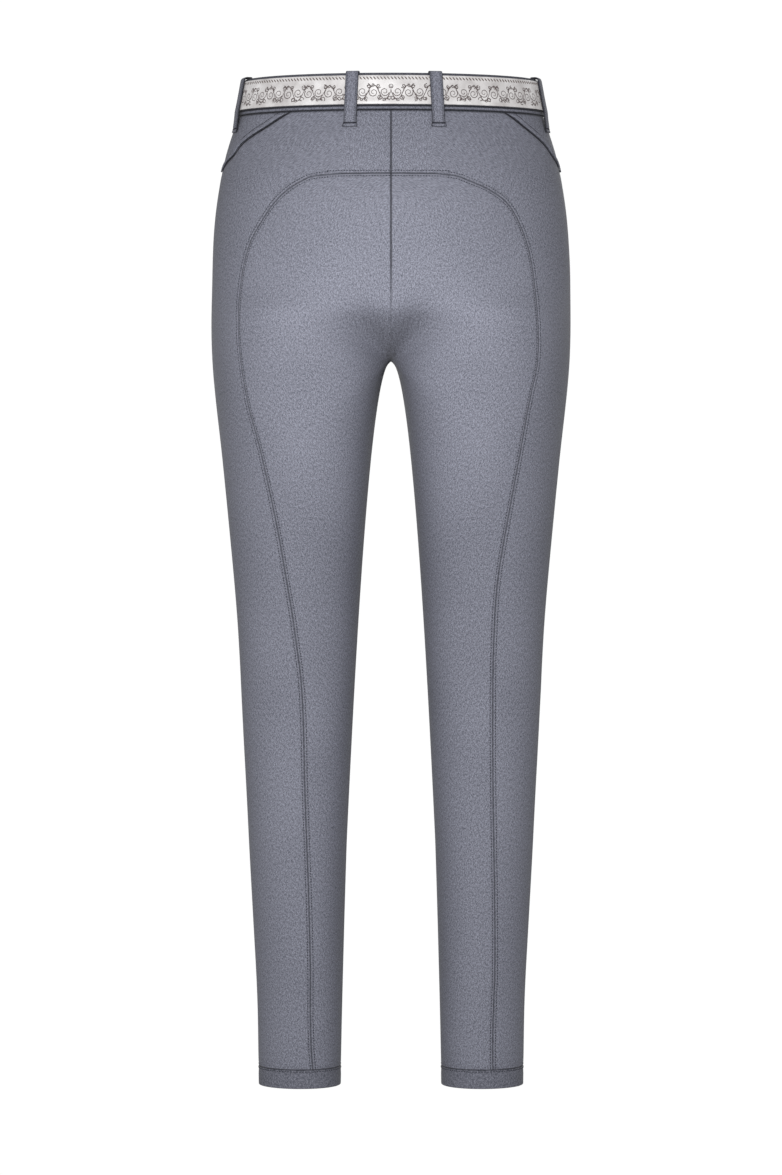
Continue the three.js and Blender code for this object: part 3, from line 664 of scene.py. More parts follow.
# the seam marks darken the leather towards dark brown: painted shade on the keeper's back and edges, and a
# dark colour on the strap's back and edges
edge = addNode(tree, "ShaderNodeAttribute", attribute_name="seam")
edgeTone = addNode(tree, "ShaderNodeMix", {"Factor": edge.outputs["Fac"], 6: pebble.outputs["Color"],
                   7: (0.16, 0.12, 0.1, 1)}, data_type="RGBA")
relief = addNode(tree, "ShaderNodeBump", {"Strength": 0.2, "Distance": 0.0001,
                 "Height": pebble.outputs["Height"]})
tree.links.new(edgeTone.outputs[2], shader.inputs["Base Color"])
tree.links.new(pebble.outputs["Roughness"], shader.inputs["Roughness"])
tree.links.new(relief.outputs[0], shader.inputs["Normal"])
ink, _, _ = newMaterial("scrollInk", Base_Color=(*belt["ink"], 1), Roughness=0.45)
cordInk, _, _ = newMaterial("cordInk", Base_Color=(*belt["cord"], 1), Roughness=0.45)


def metalMaterial(name, tone, low, high):
    material, tree, shader = newMaterial(name, Base_Color=(*tone, 1), Metallic=1.0)
    place = addNode(tree, "ShaderNodeTexCoord")
    wear = addNode(tree, "ShaderNodeTexNoise", {"Vector": place.outputs["Object"], "Scale": 160, "Detail": 4})
    rough = addNode(tree, "ShaderNodeMapRange", {"Value": wear.outputs[0], "To Min": low, "To Max": high})
    tree.links.new(rough.outputs[0], shader.inputs["Roughness"])
    return material


nickel = metalMaterial("satinNickel", (0.55, 0.55, 0.56), 0.2, 0.36)
brass = metalMaterial("antiqueRivet", (0.3, 0.2, 0.14), 0.25, 0.5)
print("materials made")


# ---- what repeats along a line: one small shape at a fixed pitch
def repeatTree():
    tree = bpy.data.node_groups.new("repeatAlong", "GeometryNodeTree")
    face = tree.interface
    face.new_socket("Geometry", in_out="INPUT", socket_type="NodeSocketGeometry")
    for label in ("Pitch", "Length", "Width", "Height", "Slant"):
        face.new_socket(label, in_out="INPUT", socket_type="NodeSocketFloat")
    face.new_socket("Material", in_out="INPUT", socket_type="NodeSocketMaterial")
    face.new_socket("Geometry", in_out="OUTPUT", socket_type="NodeSocketGeometry")
    given, result = tree.nodes.new("NodeGroupInput"), tree.nodes.new("NodeGroupOutput")
    curve = addNode(tree, "GeometryNodeMeshToCurve", {"Mesh": given.outputs["Geometry"]})
    even = addNode(tree, "GeometryNodeResampleCurve", {"Curve": curve.outputs[0],
                   "Length": given.outputs["Pitch"]}, mode="LENGTH")
    ball = addNode(tree, "GeometryNodeMeshIcoSphere", {"Radius": 0.5, "Subdivisions": 1})
    size = addNode(tree, "ShaderNodeCombineXYZ", {"X": given.outputs["Length"], "Y": given.outputs["Width"],
                   "Z": given.outputs["Height"]})
    tangent = addNode(tree, "GeometryNodeInputTangent")
    facing = addNode(tree, "GeometryNodeInputNamedAttribute", {"Name": "facing"}, data_type="FLOAT_VECTOR")
    along = addNode(tree, "FunctionNodeAlignRotationToVector", {"Vector": tangent.outputs[0]}, axis="X")
    upright = addNode(tree, "FunctionNodeAlignRotationToVector", {"Rotation": along.outputs[0],
                      "Vector": facing.outputs[0]}, axis="Z", pivot_axis="X")
    spin = addNode(tree, "ShaderNodeCombineXYZ", {"Z": given.outputs["Slant"]})
    leaning = addNode(tree, "FunctionNodeRotateRotation", {"Rotation": upright.outputs[0],
                      "Rotate By": spin.outputs[0]}, rotation_space="LOCAL")
    placed = addNode(tree, "GeometryNodeInstanceOnPoints", {"Points": even.outputs[0],
                     "Instance": ball.outputs[0], "Rotation": leaning.outputs[0], "Scale": size.outputs[0]})
    real = addNode(tree, "GeometryNodeRealizeInstances", {"Geometry": placed.outputs[0]})
    painted = addNode(tree, "GeometryNodeSetMaterial", {"Geometry": real.outputs[0],
                      "Material": given.outputs["Material"]})
    tree.links.new(painted.outputs[0], result.inputs[0])
    return tree


repeatAlong = repeatTree()


def repeatRuns(name, runs, shape, material):
    verts, edges, facings = [], [], []
    for points, normals in runs:
        start = len(verts)
        verts += (np.asarray(points) * mm).tolist()
        facings += np.asarray(normals).tolist()
        edges += [(start + k, start + k + 1) for k in range(len(points) - 1)]
    mesh = bpy.data.meshes.new(name + "Path")
    mesh.from_pydata(verts, edges, [])
    layer = mesh.attributes.new("facing", "FLOAT_VECTOR", "POINT")
    layer.data.foreach_set("vector", np.array(facings).ravel())
    path = bpy.data.objects.new(name + "Path", mesh)
    bpy.context.scene.collection.objects.link(path)
    modifier = path.modifiers.new("repeat", "NODES")
    modifier.node_group = repeatAlong
    values = {"Pitch": shape["pitch"] * mm, "Length": shape["length"] * mm, "Width": shape["width"] * mm,
              "Height": shape["height"] * mm, "Slant": shape.get("slant", 0.0), "Material": material}
    for item in repeatAlong.interface.items_tree:
        if item.in_out == "INPUT" and item.name in values:
            modifier[item.identifier] = values[item.name]
    ready = path.evaluated_get(bpy.context.evaluated_depsgraph_get())
    final = bpy.data.meshes.new_from_object(ready)
    path.modifiers.clear()
    bpy.data.objects.remove(path)
    bpy.data.meshes.remove(mesh)
    final.name = name
    obj = bpy.data.objects.new(name, final)
    bpy.context.scene.collection.objects.link(obj)
    print(f"{name}: {len(final.polygons)} faces")
    return obj


made = []


def keep(obj, slot, *nodes):
    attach(obj, "root")
    if nodes:
        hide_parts(*nodes)
    made.append(obj.name)
    return obj


def clothPanels(side):
    below = rowsBetween(cut["waistSeam"] - half, crotchRows[0] + 4, 4, bottomEdge=False)
    rows = np.concatenate([below, crotchRows, legRows])
    whole = block(rows, np.zeros(len(rows)), hipAngle(side, rows), 36)
    front = panel(f"front_{side}_cloth", side, [whole], [],
                  ("waist", "hip", "side", "centreFront", "inseam", "hem"), twill)
    under = np.concatenate([seatRows(side), crotchRows, legRows])
    outerColumns, yokeColumns = 16, 16
    split = seatAngle(side, np.minimum(yokeRows, cut["yokeSeam"] - half))
    outer = block(yokeRows, hipAngle(side, yokeRows), split, outerColumns)
    yoke = joinAcross(outer, block(yokeRows, split, np.full(len(yokeRows), pi), yokeColumns))
    leg = block(under, hipAngle(side, under), seatAngle(side, under), outerColumns)
    start, wide, narrow = yoke["z"].size, yoke["z"].shape[1], leg["z"].shape[1]
    last = start - wide
    links = [(last + k, start + k, start + k + 1, last + k + 1) for k in range(narrow - 1)]
    back = panel(f"back_side_{side}_cloth", side, [yoke, leg], links,
                 ("waist", "hip", "side", "seat", "centreBack", "hem"), twill)
    inner = block(under, seatAngle(side, under), np.full(len(under), pi), 24)
    seat = panel(f"seat_{side}_cloth", side, [inner], [], ("seat", "centreBack", "inseam", "hem"), twill)
    for obj, kind in ((front, "front"), (back, "back_side"), (seat, "seat")):
        keep(obj, "breeches_cloth", f"{kind}_{side}")


for side in ("left", "right"):
    clothPanels(side)
print("panels made")


def pocketWelt(side):
    z = denseRows(-21, -73, 1.4)
    edge = hipAngle(side, z)
    radius = np.linalg.norm(skin(edge, z) - skin(edge - 0.02, z), axis=1) / 0.02
    share = np.array([0, 0.05, 0.1, 0.15, 0.22, 0.35, 0.5, 0.68, 0.86, 0.95, 1.0])
    near, far = edge - 0.9 / radius, edge - 6.3 * 1.35 / radius
    angles = far[:, None] + (near - far)[:, None] * share
    heights = np.broadcast_to(z[:, None], angles.shape)
    normals = outward(angles, heights)
    soft = 0.35 * (np.abs(share - 0.5) * 2) ** 6
    shift = foldShift(side, angles, heights) + 0.5 + 1 - soft
    points = skin(angles, heights) + normals * shift[..., None]
    faces = gridFaces(*angles.shape)
    points, normals = points.reshape(-1, 3) * mirror(side), normals.reshape(-1, 3) * mirror(side)
    if side == "right":
        faces = [tuple(reversed(f)) for f in faces]
    allPoints, allFaces = wallOf(points, normals, faces, 1.0)
    uv = np.stack([np.broadcast_to(share * 8.5, angles.shape).ravel(), heights.ravel()], axis=1)
    # dark line along the welt's free edge: partly the joint where it meets the panel, partly painted shade
    # where it steps down
    marks = np.broadcast_to(0.95 * np.exp(-(share / 0.1) ** 2), angles.shape).ravel()
    obj = meshObject(f"pocket_welt_{side}_cloth", allPoints, allFaces, uv=np.tile(uv, (2, 1)),
                     marks=np.tile(marks, 2), material=twill)
    keep(obj, "breeches_cloth", f"pocket_welt_{side}")


def hemBand(side):
    loop = roundedLoop(-2.4, 0.25, cut["hemBottom"], cut["hemSeam"] - half, 0.9, steps=4, fill=6)
    angles = np.linspace(0, pi, 121)[:-1]
    beside = np.clip(angles, 0.02, pi - 0.02)
    heights = np.broadcast_to(loop[:, 1], (len(angles), len(loop)))
    normals = outward(np.broadcast_to(beside[:, None], heights.shape), heights)
    normals[0] = (-1, 0, 0)
    roll = 0.3 * np.exp(-((loop[:, 1] - cut["hemSeam"] + 4) / 2.5) ** 2)
    points = skin(angles[:, None], heights) + normals * (loop[:, 0] - roll * (loop[:, 0] > 0))[None, :, None]
    faces = gridFaces(*heights.shape, closedAcross=True, closedDown=True)
    uv = np.stack([np.broadcast_to(angles[:, None] * 58, heights.shape), heights + loop[:, 0]], axis=-1)
    # painted shade over the whole hem band (0.22), and a darker line at its seam on top
    dark = 0.22 + 0.43 * np.exp(-((loop[:, 1] - cut["hemSeam"]) / 0.7) ** 2) * (loop[:, 0] > -1)
    obj = meshObject(f"hem_{side}_cloth", (points * mirror(side)).reshape(-1, 3), faces, uv=uv.reshape(-1, 2),
                     marks=np.broadcast_to(dark, heights.shape).ravel(), material=twill)
    keep(obj, "breeches_cloth", f"hem_{side}")


def flyPoint(x, z, lift):
    angle = np.arcsin(np.clip(np.abs(x) / skin(pi / 2, z)[..., 0], 0, 1))
    normal = outward(np.maximum(angle, 0.004), z)
    normal[..., 0] = np.where(np.abs(x) < 1, 0, normal[..., 0] * np.sign(x))
    normal /= np.linalg.norm(normal, axis=-1, keepdims=True)
    point = skin(angle, z)
    point[..., 0] *= np.where(x < 0, -1, 1)
    lift = np.broadcast_to(lift, angle.shape) + foldShift("right", angle, z)
    return point + normal * lift[..., None], normal


# the lap's length and width in mm, and the width inside its sewn line
fly = dict(length=165, width=37, sewnWidth=28.5)


def flyLap():
    down = np.concatenate([np.linspace(0, 0.7, 60)[:-1], 0.7 + 0.3 * np.sin(np.linspace(0, pi / 2, 26))])
    z = cut["waistSeam"] - 1 - fly["length"] * down
    curve = np.sqrt(np.maximum(1 - (np.maximum(down - 0.7, 0) / 0.3) ** 2, 0.012))
    share = (1 - np.cos(np.linspace(0, pi, 19))) / 2
    x = 4 * curve[:, None] - fly["width"] * curve[:, None] * (1 - share)
    heights = np.broadcast_to(z[:, None], x.shape)
    edge = np.minimum(share, 1 - share) * fly["width"]
    away = np.minimum(edge[None, :], (down.max() - down[:, None]) * fly["length"])
    points, normals = flyPoint(x, heights, 1.65 - 0.4 * np.exp(-away / 0.8))
    marks = 0.5 * np.exp(-(away / 0.6) ** 2)
    faces = gridFaces(*x.shape)
    allPoints, allFaces = wallOf(points.reshape(-1, 3), normals.reshape(-1, 3), faces, 1.2)
    uv = np.stack([x.ravel(), heights.ravel()], axis=1)
    obj = meshObject("fly_lap_cloth", allPoints, allFaces, uv=np.tile(uv, (2, 1)),
                     marks=np.tile(marks.ravel(), 2), material=twill)
    keep(obj, "breeches_cloth", "fly_lap")


for side in ("left", "right"):
    pocketWelt(side)
    hemBand(side)
flyLap()


def waistbandPiece(name, start, end):
    loop = roundedLoop(-2.0, 0.4, cut["waistSeam"] + half, cut["waistTop"], 0.9, steps=4, fill=45)
    turns = np.linspace(start + 0.0015, end - 0.0015, int((end - start) / 0.02) + 2)
    sections = np.broadcast_to(loop, (len(turns), *loop.shape))
    outside = loop[:, 0] > -0.6
    # dark marks on the band: its seam line at the bottom, painted shadow in a band under the belt, and
    # painted shade on its top edge above the belt
    dark = np.where(outside, np.exp(-((loop[:, 1] - cut["waistSeam"]) / 0.9) ** 2), 0)
    dark = np.maximum(dark, np.where(outside, 0.97 * np.exp(-((loop[:, 1] + 14.1) / 1.1) ** 4), 0))
    dark = np.maximum(dark, np.where(loop[:, 1] > 15.5, 0.6, 0))
    obj = sweptRound(f"{name}_cloth", turns, sections, twill, np.broadcast_to(dark, (len(turns), len(dark))))
    keep(obj, "breeches_cloth", name)
    middle, _ = waistPoint(turns, 0)


waistbandPiece("waistband_front_left", 0, pi / 2)
waistbandPiece("waistband_back", pi / 2, 3 * pi / 2)
waistbandPiece("waistband_front_right", 3 * pi / 2, 2 * pi)
print("bands made")

# ---- belt
strap = dict(start=2 * pi - 0.09, end=-1.0, rise=3, barTurn=-0.124, barRise=3.5)
beltMiddle = (belt["top"] + belt["bottom"]) / 2


def smooth(t):
    t = np.clip(t, 0, 1)
    return t * t * (3 - 2 * t)


def strapLift(turn):
    turn = np.asarray(turn, float)
    hump = smooth(1.25 - np.abs(turn - strap["barTurn"]) / 0.08)
    return belt["lift"] + strap["rise"] * smooth((0.5 - turn) / 0.34) + strap["barRise"] * hump


# a cylinder that stands out from the strap, for its holes
def holeCutter(turn, lift, radius, stretch=1.0):
    centre, normal = waistPoint(turn, beltMiddle, lift)
    across = np.cross([0, 0, 1], normal)
    ring = np.linspace(0, 2 * pi, 20, endpoint=False)
    spots = []
    for reach in (-7, 7):
        spots.append(centre + normal * reach + np.outer(np.cos(ring) * radius * stretch, across)
                     + np.outer(np.sin(ring) * radius, [0, 0, 1]))
    faces = [(k, (k + 1) % 20, 20 + (k + 1) % 20, 20 + k) for k in range(20)]
    return np.concatenate(spots), faces + [tuple(reversed(range(20))), tuple(range(20, 40))]


def beltStrap():
    tip = strap["end"] + 0.056 * (1 - np.cos(np.linspace(0, pi / 2, 14)))
    rest = np.arange(tip[-1] + 0.012, strap["start"], 0.012)
    turns = np.concatenate([tip, rest, [strap["start"]]])
    share = np.clip((turns - strap["end"]) / 0.056, 0, 1)
    width = 0.3 + 0.7 * np.sqrt(1 - (1 - share) ** 2)
    tall = (belt["top"] - belt["bottom"]) / 2
    sections = []
    for turn, wide in zip(turns, width):
        loop = roundedLoop(0, belt["thickness"], -tall * wide, tall * wide, 0.7, steps=3, fill=6)
        sections.append(np.stack([loop[:, 0] + strapLift(turn), loop[:, 1] + beltMiddle], axis=1))
    sections = np.array(sections)
    depth = roundedLoop(0, belt["thickness"], -tall, tall, 0.7, steps=3, fill=6)[:, 0]
    dark = np.broadcast_to(np.where((depth < belt["thickness"] - 0.5), 0.75, 0.0), sections.shape[:2])
    body = sweptRound("belt_strap_leather", turns, sections, leather, dark)
    cutters = [holeCutter(-0.07, float(strapLift(-0.07)), 2.4, 2.4)]
    for k in range(5):
        turn = -0.36 - 0.13 * k
        cutters.append(holeCutter(turn, float(strapLift(turn)) + 6.6, 1.8))
    points, faces = [], []
    for spots, loops in cutters:
        faces += [tuple(v + sum(len(p) for p in points) for v in face) for face in loops]
        points.append(spots)
    tool = meshObject("strapHoles", np.concatenate(points), faces, smooth=False)
    modifier = body.modifiers.new("holes", "BOOLEAN")
    modifier.object, modifier.operation, modifier.solver = tool, "DIFFERENCE", "EXACT"
    holed = bpy.data.meshes.new_from_object(body.evaluated_get(bpy.context.evaluated_depsgraph_get()))
    body.modifiers.clear()
    body.data = holed
    bpy.data.objects.remove(tool)
    keep(body, "belt_leather", "belt_strap")


beltStrap()

# scrollwork in a plain layout of its own: a waving stem from the centre back each way, with a curl in every
# bend and small curls, hooks and leaves off it. Lengths along and up the belt in mm.
scroll = dict(middle=-2.4, wave=22.0, swing=7.0, curl=4.6, curlTurns=1.4, smallCurl=2.6, stroke=0.36, seed=11)


def curlLine(along, up, radius, turns, start, way):
    t = np.linspace(0, 1, 20)
    size = radius * (1 - 0.78 * t)
    swing = math.radians(start) + way * 2 * pi * turns * t
    return np.stack([along + size * np.cos(swing), up + size * np.sin(swing)], axis=1), 1.15 - 0.35 * t


def armLine(a0, u0, a1, u1, bow):
    t = np.linspace(0, 1, 14)
    length = math.hypot(a1 - a0, u1 - u0)
    side = np.array([-(u1 - u0), a1 - a0]) / length
    line = np.array([a0, u0]) + np.outer(t, [a1 - a0, u1 - u0]) + np.outer(np.sin(pi * t) * bow, side)
    return line, 0.75 + 0.4 * np.sin(pi * t)


def leafLine(along, up, direction, length):
    t = np.linspace(0, 1, 8)
    swing = math.radians(direction) + 0.5 * t
    line = np.stack([along + length * t * np.cos(swing), up + length * t * np.sin(swing)], axis=1)
    return line, 0.4 + 0.9 * np.sin(pi * np.clip(t, 0.04, 0.96))


# turn round the waist for a distance along the belt's outside from the centre back
fullTurns = np.linspace(-1.0, 2 * pi - 0.09, 3000)
outside, _ = waistPoint(fullTurns, beltMiddle, strapLift(fullTurns) + belt["thickness"])
fullRun = runningLength(np.linalg.norm(np.diff(outside, axis=0), axis=1))
backRun = float(np.interp(pi, fullTurns, fullRun))


def onBelt(along, up, lift):
    turn = np.interp(backRun + along, fullRun, fullTurns)
    return waistPoint(turn, beltMiddle + up, strapLift(turn) + belt["thickness"] + lift)[0]


def beltScrolls():
    points, faces, strokes = [], [], []
    rng = np.random.default_rng(scroll["seed"])
    first, last = -backRun + 30, fullRun[-1] - backRun - 12
    half = scroll["wave"] / 2
    for k in range(int(max(-first, last) / half) + 1):
        bend = 1 if k % 2 else -1
        here = half * (k + 0.55)
        middle, swing = scroll["middle"] + rng.uniform(-0.3, 0.3), scroll["swing"] * rng.uniform(0.9, 1.08)
        t = np.linspace(-0.62, 0.62, 22)
        stem = (np.stack([here + half * t, middle + bend * swing * np.cos(pi * t)], axis=1),
                0.85 + 0.4 * np.cos(pi * t))
        shapes = [stem, curlLine(here + rng.uniform(-0.7, 0.7), middle - bend * 0.6, scroll["curl"],
                                 scroll["curlTurns"], 90 * bend - 60 + rng.uniform(-20, 20), -bend)]
        for shift, height, size in ((-4.6, 7.6, 1.0), (0.6, 8.6, 0.8), (5.0, 7.0, 0.95), (-6.2, -7.0, 0.9)):
            up = middle + bend * height * 0.78
            shapes.append(curlLine(here + shift + rng.uniform(-0.5, 0.5), up, scroll["smallCurl"] * size, 0.9,
                                   rng.uniform(0, 360), rng.choice([-1, 1])))
        for shift, height, way in ((-2.6, 5.0, 120), (5.9, -1.8, 320)):
            shapes.append(leafLine(here + shift, middle + bend * height, bend * way + rng.uniform(-25, 25),
                                   rng.uniform(1.8, 2.6)))
        for shift, rise in ((-3.4, 1.9), (3.8, 2.6)):
            shapes.append(armLine(here + shift, middle + bend * 4.4, here + shift * 1.5,
                                  middle + bend * (5.6 + rise), rng.uniform(0.8, 1.5)))
        for line, wide in shapes:
            for way in (1, -1):
                along = way * line[:, 0]
                if along.min() > first and along.max() < last:
                    strokes.append((along, np.clip(line[:, 1], -12.2, 8.0), wide))
    for along, up, wide in strokes:
        line = np.stack([along, up], axis=1)
        ahead = np.gradient(line, axis=0)
        ahead /= np.linalg.norm(ahead, axis=1, keepdims=True)
        side = np.stack([-ahead[:, 1], ahead[:, 0]], axis=1) * wide[:, None] * scroll["stroke"]
        start, rows = sum(len(p) for p in points), len(line)
        ring = [onBelt(*(line + side).T, 0.0), onBelt(*line.T, 0.16), onBelt(*(line - side).T, 0.0),
                onBelt(*line.T, -0.12)]
        points.append(np.stack(ring, axis=1).reshape(-1, 3))
        loops = gridFaces(rows, 4, start=start, closedAcross=True)
        loops += [tuple(start + k for k in range(4)), tuple(start + (rows - 1) * 4 + k for k in (3, 2, 1, 0))]
        turning = np.cross(onBelt(*(line + side).T, 0.0)[1] - onBelt(*line.T, -0.12)[1],
                           onBelt(*line.T, 0.16)[1] - onBelt(*line.T, -0.12)[1])
        forward = onBelt(*line.T, 0.0)[2] - onBelt(*line.T, 0.0)[1]
        faces += loops if (turning * forward).sum() > 0 else [tuple(reversed(f)) for f in loops]
    obj = meshObject("beltScrolls", np.concatenate(points), faces, material=ink)
    keep(obj, "belt_leather")
    print(f"beltScrolls: {len(strokes)} strokes")


beltScrolls()

cordAlong = np.arange(-backRun + 14, fullRun[-1] - backRun - 8, 3.0)
cordTurns = np.interp(backRun + cordAlong, fullRun, fullTurns)


def cordRun(height):
    return waistPoint(cordTurns, beltMiddle + height, strapLift(cordTurns) + belt["thickness"] + 0.05)


cord = dict(pitch=3.4, length=4.6, width=1.35, height=0.5, slant=-0.85)
keep(repeatRuns("beltCord", [cordRun(11.2)], cord, cordInk), "belt_leather")
print("belt made")

# ---- loops, keeper and metal
clear, insideClear, loopThick, loopWide = 0.4, 0.7, 1.5, 12.5
loops = {
    "back_left": (pi - 0.258, 1), "back_right": (pi + 0.3, 1), "side_left": (pi / 2 + 0.2, 1),
    "side_right": (1.5 * pi - 0.18, 1), "front_left": (0.62, 1), "front_right": (-0.62, 2)}
tackRuns, loopRuns = [], []
for label, (turn, layers) in loops.items():
    over = belt["lift"] + belt["thickness"] + (layers - 1) * strap["rise"] + clear + loopThick
    inside = 0.4 - 2.4 - insideClear - loopThick
    top, foot, low = cut["waistTop"] + clear + loopThick, clear + loopThick, belt["bottom"]
    path = [
        (inside + 0.02, 8, 1), (inside, 16, 1), (inside + 0.5, top - 0.9, 1), (inside + 1.6, top, 1),
        (over - 2.2, top, 1), (over - 0.6, top - 0.7, 1), (over, top - 2.4, 1), (over, beltMiddle, 1),
        (over, low - 1, 1), (over - (over - foot) * 0.25, low - 6, 1), (foot + 0.7, -30.2, 1.0),
        (foot - 0.5, -31.2, 1.04), (foot + 0.25, -32.0, 1.2), (foot + 0.3, -34.2, 1.22),
        (foot - 0.5, -35, 1.18)]
    # the two dark lines at the loop's foot are painted shade in the creases above and below its fold
    strip = bentStrip(f"belt_loop_{label}_cloth", turn, loopWide, path, loopThick, twill,
                      shadeLinesAt=(-31.3, -35.2))
    keep(strip, "breeches_cloth", f"belt_loop_{label}")
    soft = softPath(path)
    shown = soft[(soft[:, 0] > foot - 0.2) & (soft[:, 1] < top - 3) & (soft[:, 1] > -30.5)]
    centre, _ = waistPoint(turn, shown[:, 1])
    beside, _ = waistPoint(turn + 0.01, shown[:, 1])
    pace = np.linalg.norm(beside - centre, axis=1) / 0.01
    for side in (-1, 1):
        sewnAt = turn + side * (loopWide / 2 - 2.2) / pace
        loopRuns.append(waistPoint(sewnAt, shown[:, 1], shown[:, 0] + 0.02))
    across = np.linspace(-6.3, 6.3, 30)
    zigzag = -31.2 + 0.35 * np.where(np.arange(30) % 2, 1, -1)
    tackRuns.append(waistPoint(turn + across / pace[-1], zigzag, foot + 0.15))
dots = dict(pitch=2.1, length=1.15, width=0.55, height=0.35)
keep(repeatRuns("loopStitches", loopRuns, dots, thread), "breeches_cloth")
tacks = dict(pitch=0.8, length=1.1, width=0.75, height=0.6, slant=0.9)
keep(repeatRuns("loopTacks", tackRuns, tacks, thread), "breeches_cloth")

high = belt["lift"] + strap["rise"] + belt["thickness"] + clear + 1.5
keeperTop, keeperBottom = belt["top"] + clear + 1.5, belt["bottom"] - clear - 1.5
keeperPath = [
    (belt["lift"] + 0.3, keeperTop, 1), (high - 1.2, keeperTop, 1), (high, keeperTop - 1.2, 1),
    (high, beltMiddle, 1), (high, keeperBottom + 1.2, 1), (high - 1.2, keeperBottom, 1),
    (belt["lift"] + 0.3, keeperBottom, 1)]
keep(bentStrip("belt_keeper_leather", -0.3, 9, keeperPath, 1.5, leather, 0.4), "belt_leather", "belt_keeper")


# a tube along closed or open points, with its own section at each
def tube(name, points, radii, material, closed=False, flat=1.0, up=(0, 0, 1), sides=14):
    points, up = np.asarray(points, float), np.asarray(up, float)
    if closed:
        ahead = np.roll(points, -1, axis=0) - np.roll(points, 1, axis=0)
    else:
        ahead = np.gradient(points, axis=0)
    ahead /= np.linalg.norm(ahead, axis=1, keepdims=True)
    beside = np.cross(up, ahead)
    beside /= np.linalg.norm(beside, axis=1, keepdims=True)
    over = np.cross(ahead, beside)
    ring = np.linspace(0, 2 * pi, sides, endpoint=False)
    shape = [np.sign(part) * np.abs(part) ** 0.7 for part in (np.cos(ring), np.sin(ring))]
    body = (points[:, None] + radii[:, None, None] * (shape[0][:, None] * beside[:, None]
            + flat * shape[1][:, None] * over[:, None]))
    rows = len(points)
    faces = gridFaces(rows, sides, closedAcross=True, closedDown=closed)
    if not closed:
        faces += endCaps(rows, sides)
    return body.reshape(-1, 3), faces


# places local points (along, up, out) on the front of the waist
def standOut(local, turn, z, lift, tilt=0.0, slope=0.0):
    x, y, out = np.asarray(local, float).T
    x, out = x * math.cos(tilt) - out * math.sin(tilt), x * math.sin(tilt) + out * math.cos(tilt)
    y, out = y * math.cos(slope) + out * math.sin(slope), -y * math.sin(slope) + out * math.cos(slope)
    centre, normal = waistPoint(turn, z, lift)
    across = np.cross([0, 0, 1], normal)
    across /= np.linalg.norm(across)
    return centre + np.outer(x, across) + np.outer(y, [0, 0, 1]) + np.outer(out, normal)


def buckle():
    frontDepth = column(outline, "front", np.array([belt["bottom"], belt["top"]]))
    slope = float(frontDepth[0] - frontDepth[1]) / (belt["top"] - belt["bottom"])
    w, h, r = 38.7 / 2, 37.5 / 2, 5.0
    line = []
    corners = ((w - r, h - r, 0), (-w + r, h - r, 90), (-w + r, -h + r, 180), (w - r, -h + r, 270))
    for cx, cy, start in corners:
        line += [(cx + r * math.cos(math.radians(start + a)), cy + r * math.sin(math.radians(start + a)), 0)
                 for a in range(0, 91, 9)]
    spots, faces = tube("frame", line, np.full(len(line), 2.35), nickel, closed=True, flat=0.55)
    placed = standOut(spots, 0.004, beltMiddle, 6.3, 0.085, slope)
    frameRing = meshObject("belt_buckle_frame_metal", placed, faces, material=nickel)
    keep(frameRing, "buckle_metal", "belt_buckle_frame")
    knots = np.array([(-15.6, 0, -0.9), (-11.5, 0, 0.6), (-6, 0, 3.4), (6, 0, 4.6), (21, 0, 5.4)])
    t = np.linspace(0, 4, 40)
    bent = np.stack([np.interp(t, range(5), knots[:, k]) for k in range(3)], axis=1)
    for _ in range(12):
        bent[1:-1] = (bent[:-2] + 2 * bent[1:-1] + bent[2:]) / 4
    radii = np.interp(t, [0, 3, 3.9, 4], [1.35, 1.2, 0.95, 0.5])
    spots, faces = tube("prong", bent, radii, nickel, up=(0, 1, 0))
    placed = standOut(spots, 0.004, beltMiddle, 6.3)
    prong = meshObject("belt_buckle_prong_metal", placed, faces, material=nickel)
    keep(prong, "buckle_metal", "belt_buckle_prong")


def rivet():
    profile = np.array([(2.6, 0), (3.3, 0.3), (3.5, 0.9), (3.4, 1.5), (2.9, 2.5), (2.3, 3.1), (1.5, 3.6),
                        (0.7, 3.85)])
    ring = np.linspace(0, 2 * pi, 32, endpoint=False)
    spots = [np.stack([r * np.cos(ring), r * np.sin(ring), np.full(32, h)], axis=1) for r, h in profile]
    faces = gridFaces(len(profile), 32, closedAcross=True)
    faces += endCaps(len(profile), 32)
    placed = standOut(np.concatenate(spots), pi / 2 - 0.13, -16.8, 1.3)
    dome = meshObject("waist_rivet_left_metal", placed, faces, material=brass)
    keep(dome, "rivet_metal", "waist_rivet_left")


buckle()
rivet()
print("trim made")


# ---- sewing
def seatStitches(side):
    z = np.concatenate([seatRows(side)[4:], crotchRows, legRows[:-3]])
    angle = seatAngle(side, z)
    runs = []
    for offset in (-2.65, 2.65):
        a, h = alongside(angle, z, offset)
        good = a < pi - 0.02
        runs.append(clothRun(side, a[good], h[good], -0.02))
    level = np.linspace(pi - 0.01, float(angle[0]), 20)
    for offset in (-2.65, 2.65):
        runs.append(clothRun(side, level, np.full(20, cut["yokeSeam"] + offset), -0.02))
    return runs


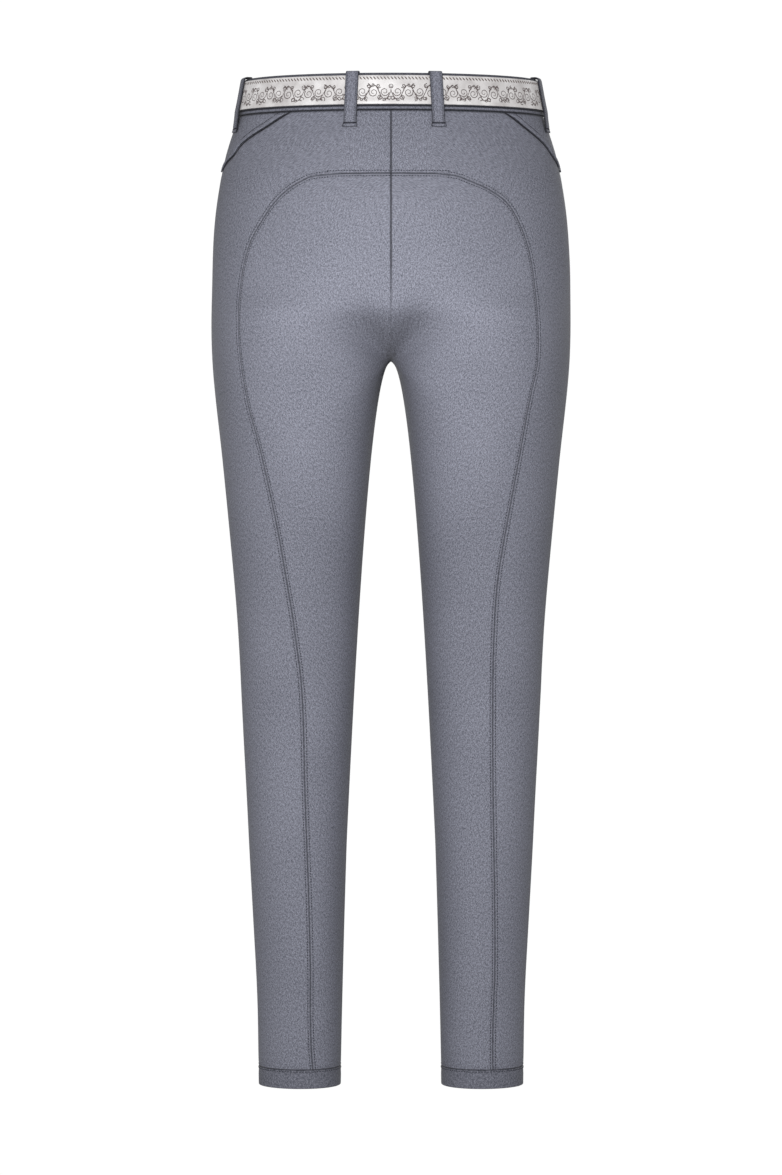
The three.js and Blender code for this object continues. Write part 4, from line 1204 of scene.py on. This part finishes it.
seatStitch = dict(pitch=2.7, length=1.9, width=1.0, height=0.45)
edgeLine = dict(pitch=1.9, length=2.0, width=0.75, height=0.4)
for side in ("left", "right"):
    keep(repeatRuns(f"seatStitches_{side}", seatStitches(side), seatStitch, thread), "breeches_cloth")
    ring = np.linspace(0.02, pi - 0.02, 90)
    hemRun = clothRun(side, ring, np.full(90, cut["hemSeam"] - 1.9), 0.22)
    hip = denseRows(cut["waistSeam"] - 2, -62, 1.0)
    hipRun = clothRun(side, *alongside(hipAngle(side, hip), hip, -5.9), 0.12)
    keep(repeatRuns(f"hipEdgeLine_{side}", [hipRun], edgeLine, thread), "breeches_cloth")
    keep(repeatRuns(f"hemStitches_{side}", [hemRun], dict(seatStitch, pitch=3.0, length=2.0), thread),
         "breeches_cloth")
flyDown = np.concatenate([np.linspace(0, 0.68, 40), 0.68 + 0.29 * np.sin(np.linspace(0.05, pi / 2, 20))])
flyCurve = np.sqrt(np.maximum(1 - (np.maximum(flyDown - 0.68, 0) / 0.3) ** 2, 0.0))
flyRun = flyPoint(-fly["sewnWidth"] * flyCurve, cut["waistSeam"] - 1 - fly["length"] * flyDown, 1.7)
keep(repeatRuns("flyStitches", [flyRun], dict(seatStitch, pitch=2.6), thread), "breeches_cloth")
print("sewing made")

# ---- light and camera
scene = bpy.context.scene
scene.view_settings.view_transform = "Standard"
light = dict(horizon=1.02, above=0.36, under=0.17,
             key=740, keyPlace=(0.7, 5.0, -0.05), keyTarget=(0, 0, -0.42), keyCone=24,
             pool=450, poolPlace=(0.3, 5.2, 0.1), poolTarget=(0, 0, -0.235), poolCone=4.8,
             fill=24, fillPlace=(-1.2, -3.0, 0.6), fillTarget=(0, 0, -0.45))
world = bpy.data.worlds.new("studio")
scene.world = world
world.use_nodes = True
sky = world.node_tree
direction = addNode(sky, "ShaderNodeTexCoord")
parts = addNode(sky, "ShaderNodeSeparateXYZ", {0: direction.outputs["Generated"]})
upper = addNode(sky, "ShaderNodeMapRange", {"Value": parts.outputs["Z"], "From Min": 0.17, "From Max": 0.34,
                "To Min": light["horizon"], "To Max": light["above"]})
level = addNode(sky, "ShaderNodeMapRange", {"Value": parts.outputs["Z"], "From Min": -0.34, "From Max": -0.17,
                "To Min": light["under"], "To Max": upper.outputs[0]})
backdrop = sky.nodes["Background"]
backdrop.inputs["Color"].default_value = (1, 1, 1, 1)
sky.links.new(level.outputs[0], backdrop.inputs["Strength"])


def addLight(name, kind, place, target, power, **fields):
    data = bpy.data.lights.new(name, kind)
    data.energy = power
    for field, value in fields.items():
        setattr(data, field, value)
    lamp = bpy.data.objects.new(name, data)
    lamp.location = place
    lamp.rotation_euler = (Vector(target) - Vector(place)).to_track_quat("-Z", "Y").to_euler()
    scene.collection.objects.link(lamp)


addLight("keyLight", "SPOT", light["keyPlace"], light["keyTarget"], light["key"],
         shadow_soft_size=0.4, spot_blend=1.0, spot_size=math.radians(light["keyCone"]))
addLight("seatPool", "SPOT", light["poolPlace"], light["poolTarget"], light["pool"],
         shadow_soft_size=0.05, spot_blend=1.0, spot_size=math.radians(light["poolCone"]))
addLight("frontFill", "AREA", light["fillPlace"], light["fillTarget"], light["fill"],
         shape="DISK", size=1.6)

lens = bpy.data.cameras.new("mainCamera")
lens.lens, lens.sensor_width, lens.clip_end = 144, 36, 50
camera = bpy.data.objects.new("mainCamera", lens)
camera.location = (0, 4.7, -0.38)
camera.rotation_euler = (Vector((0, 0, -0.4875)) - camera.location).to_track_quat("-Z", "Y").to_euler()
scene.collection.objects.link(camera)
scene.camera = camera

print("pieces:", len(made))
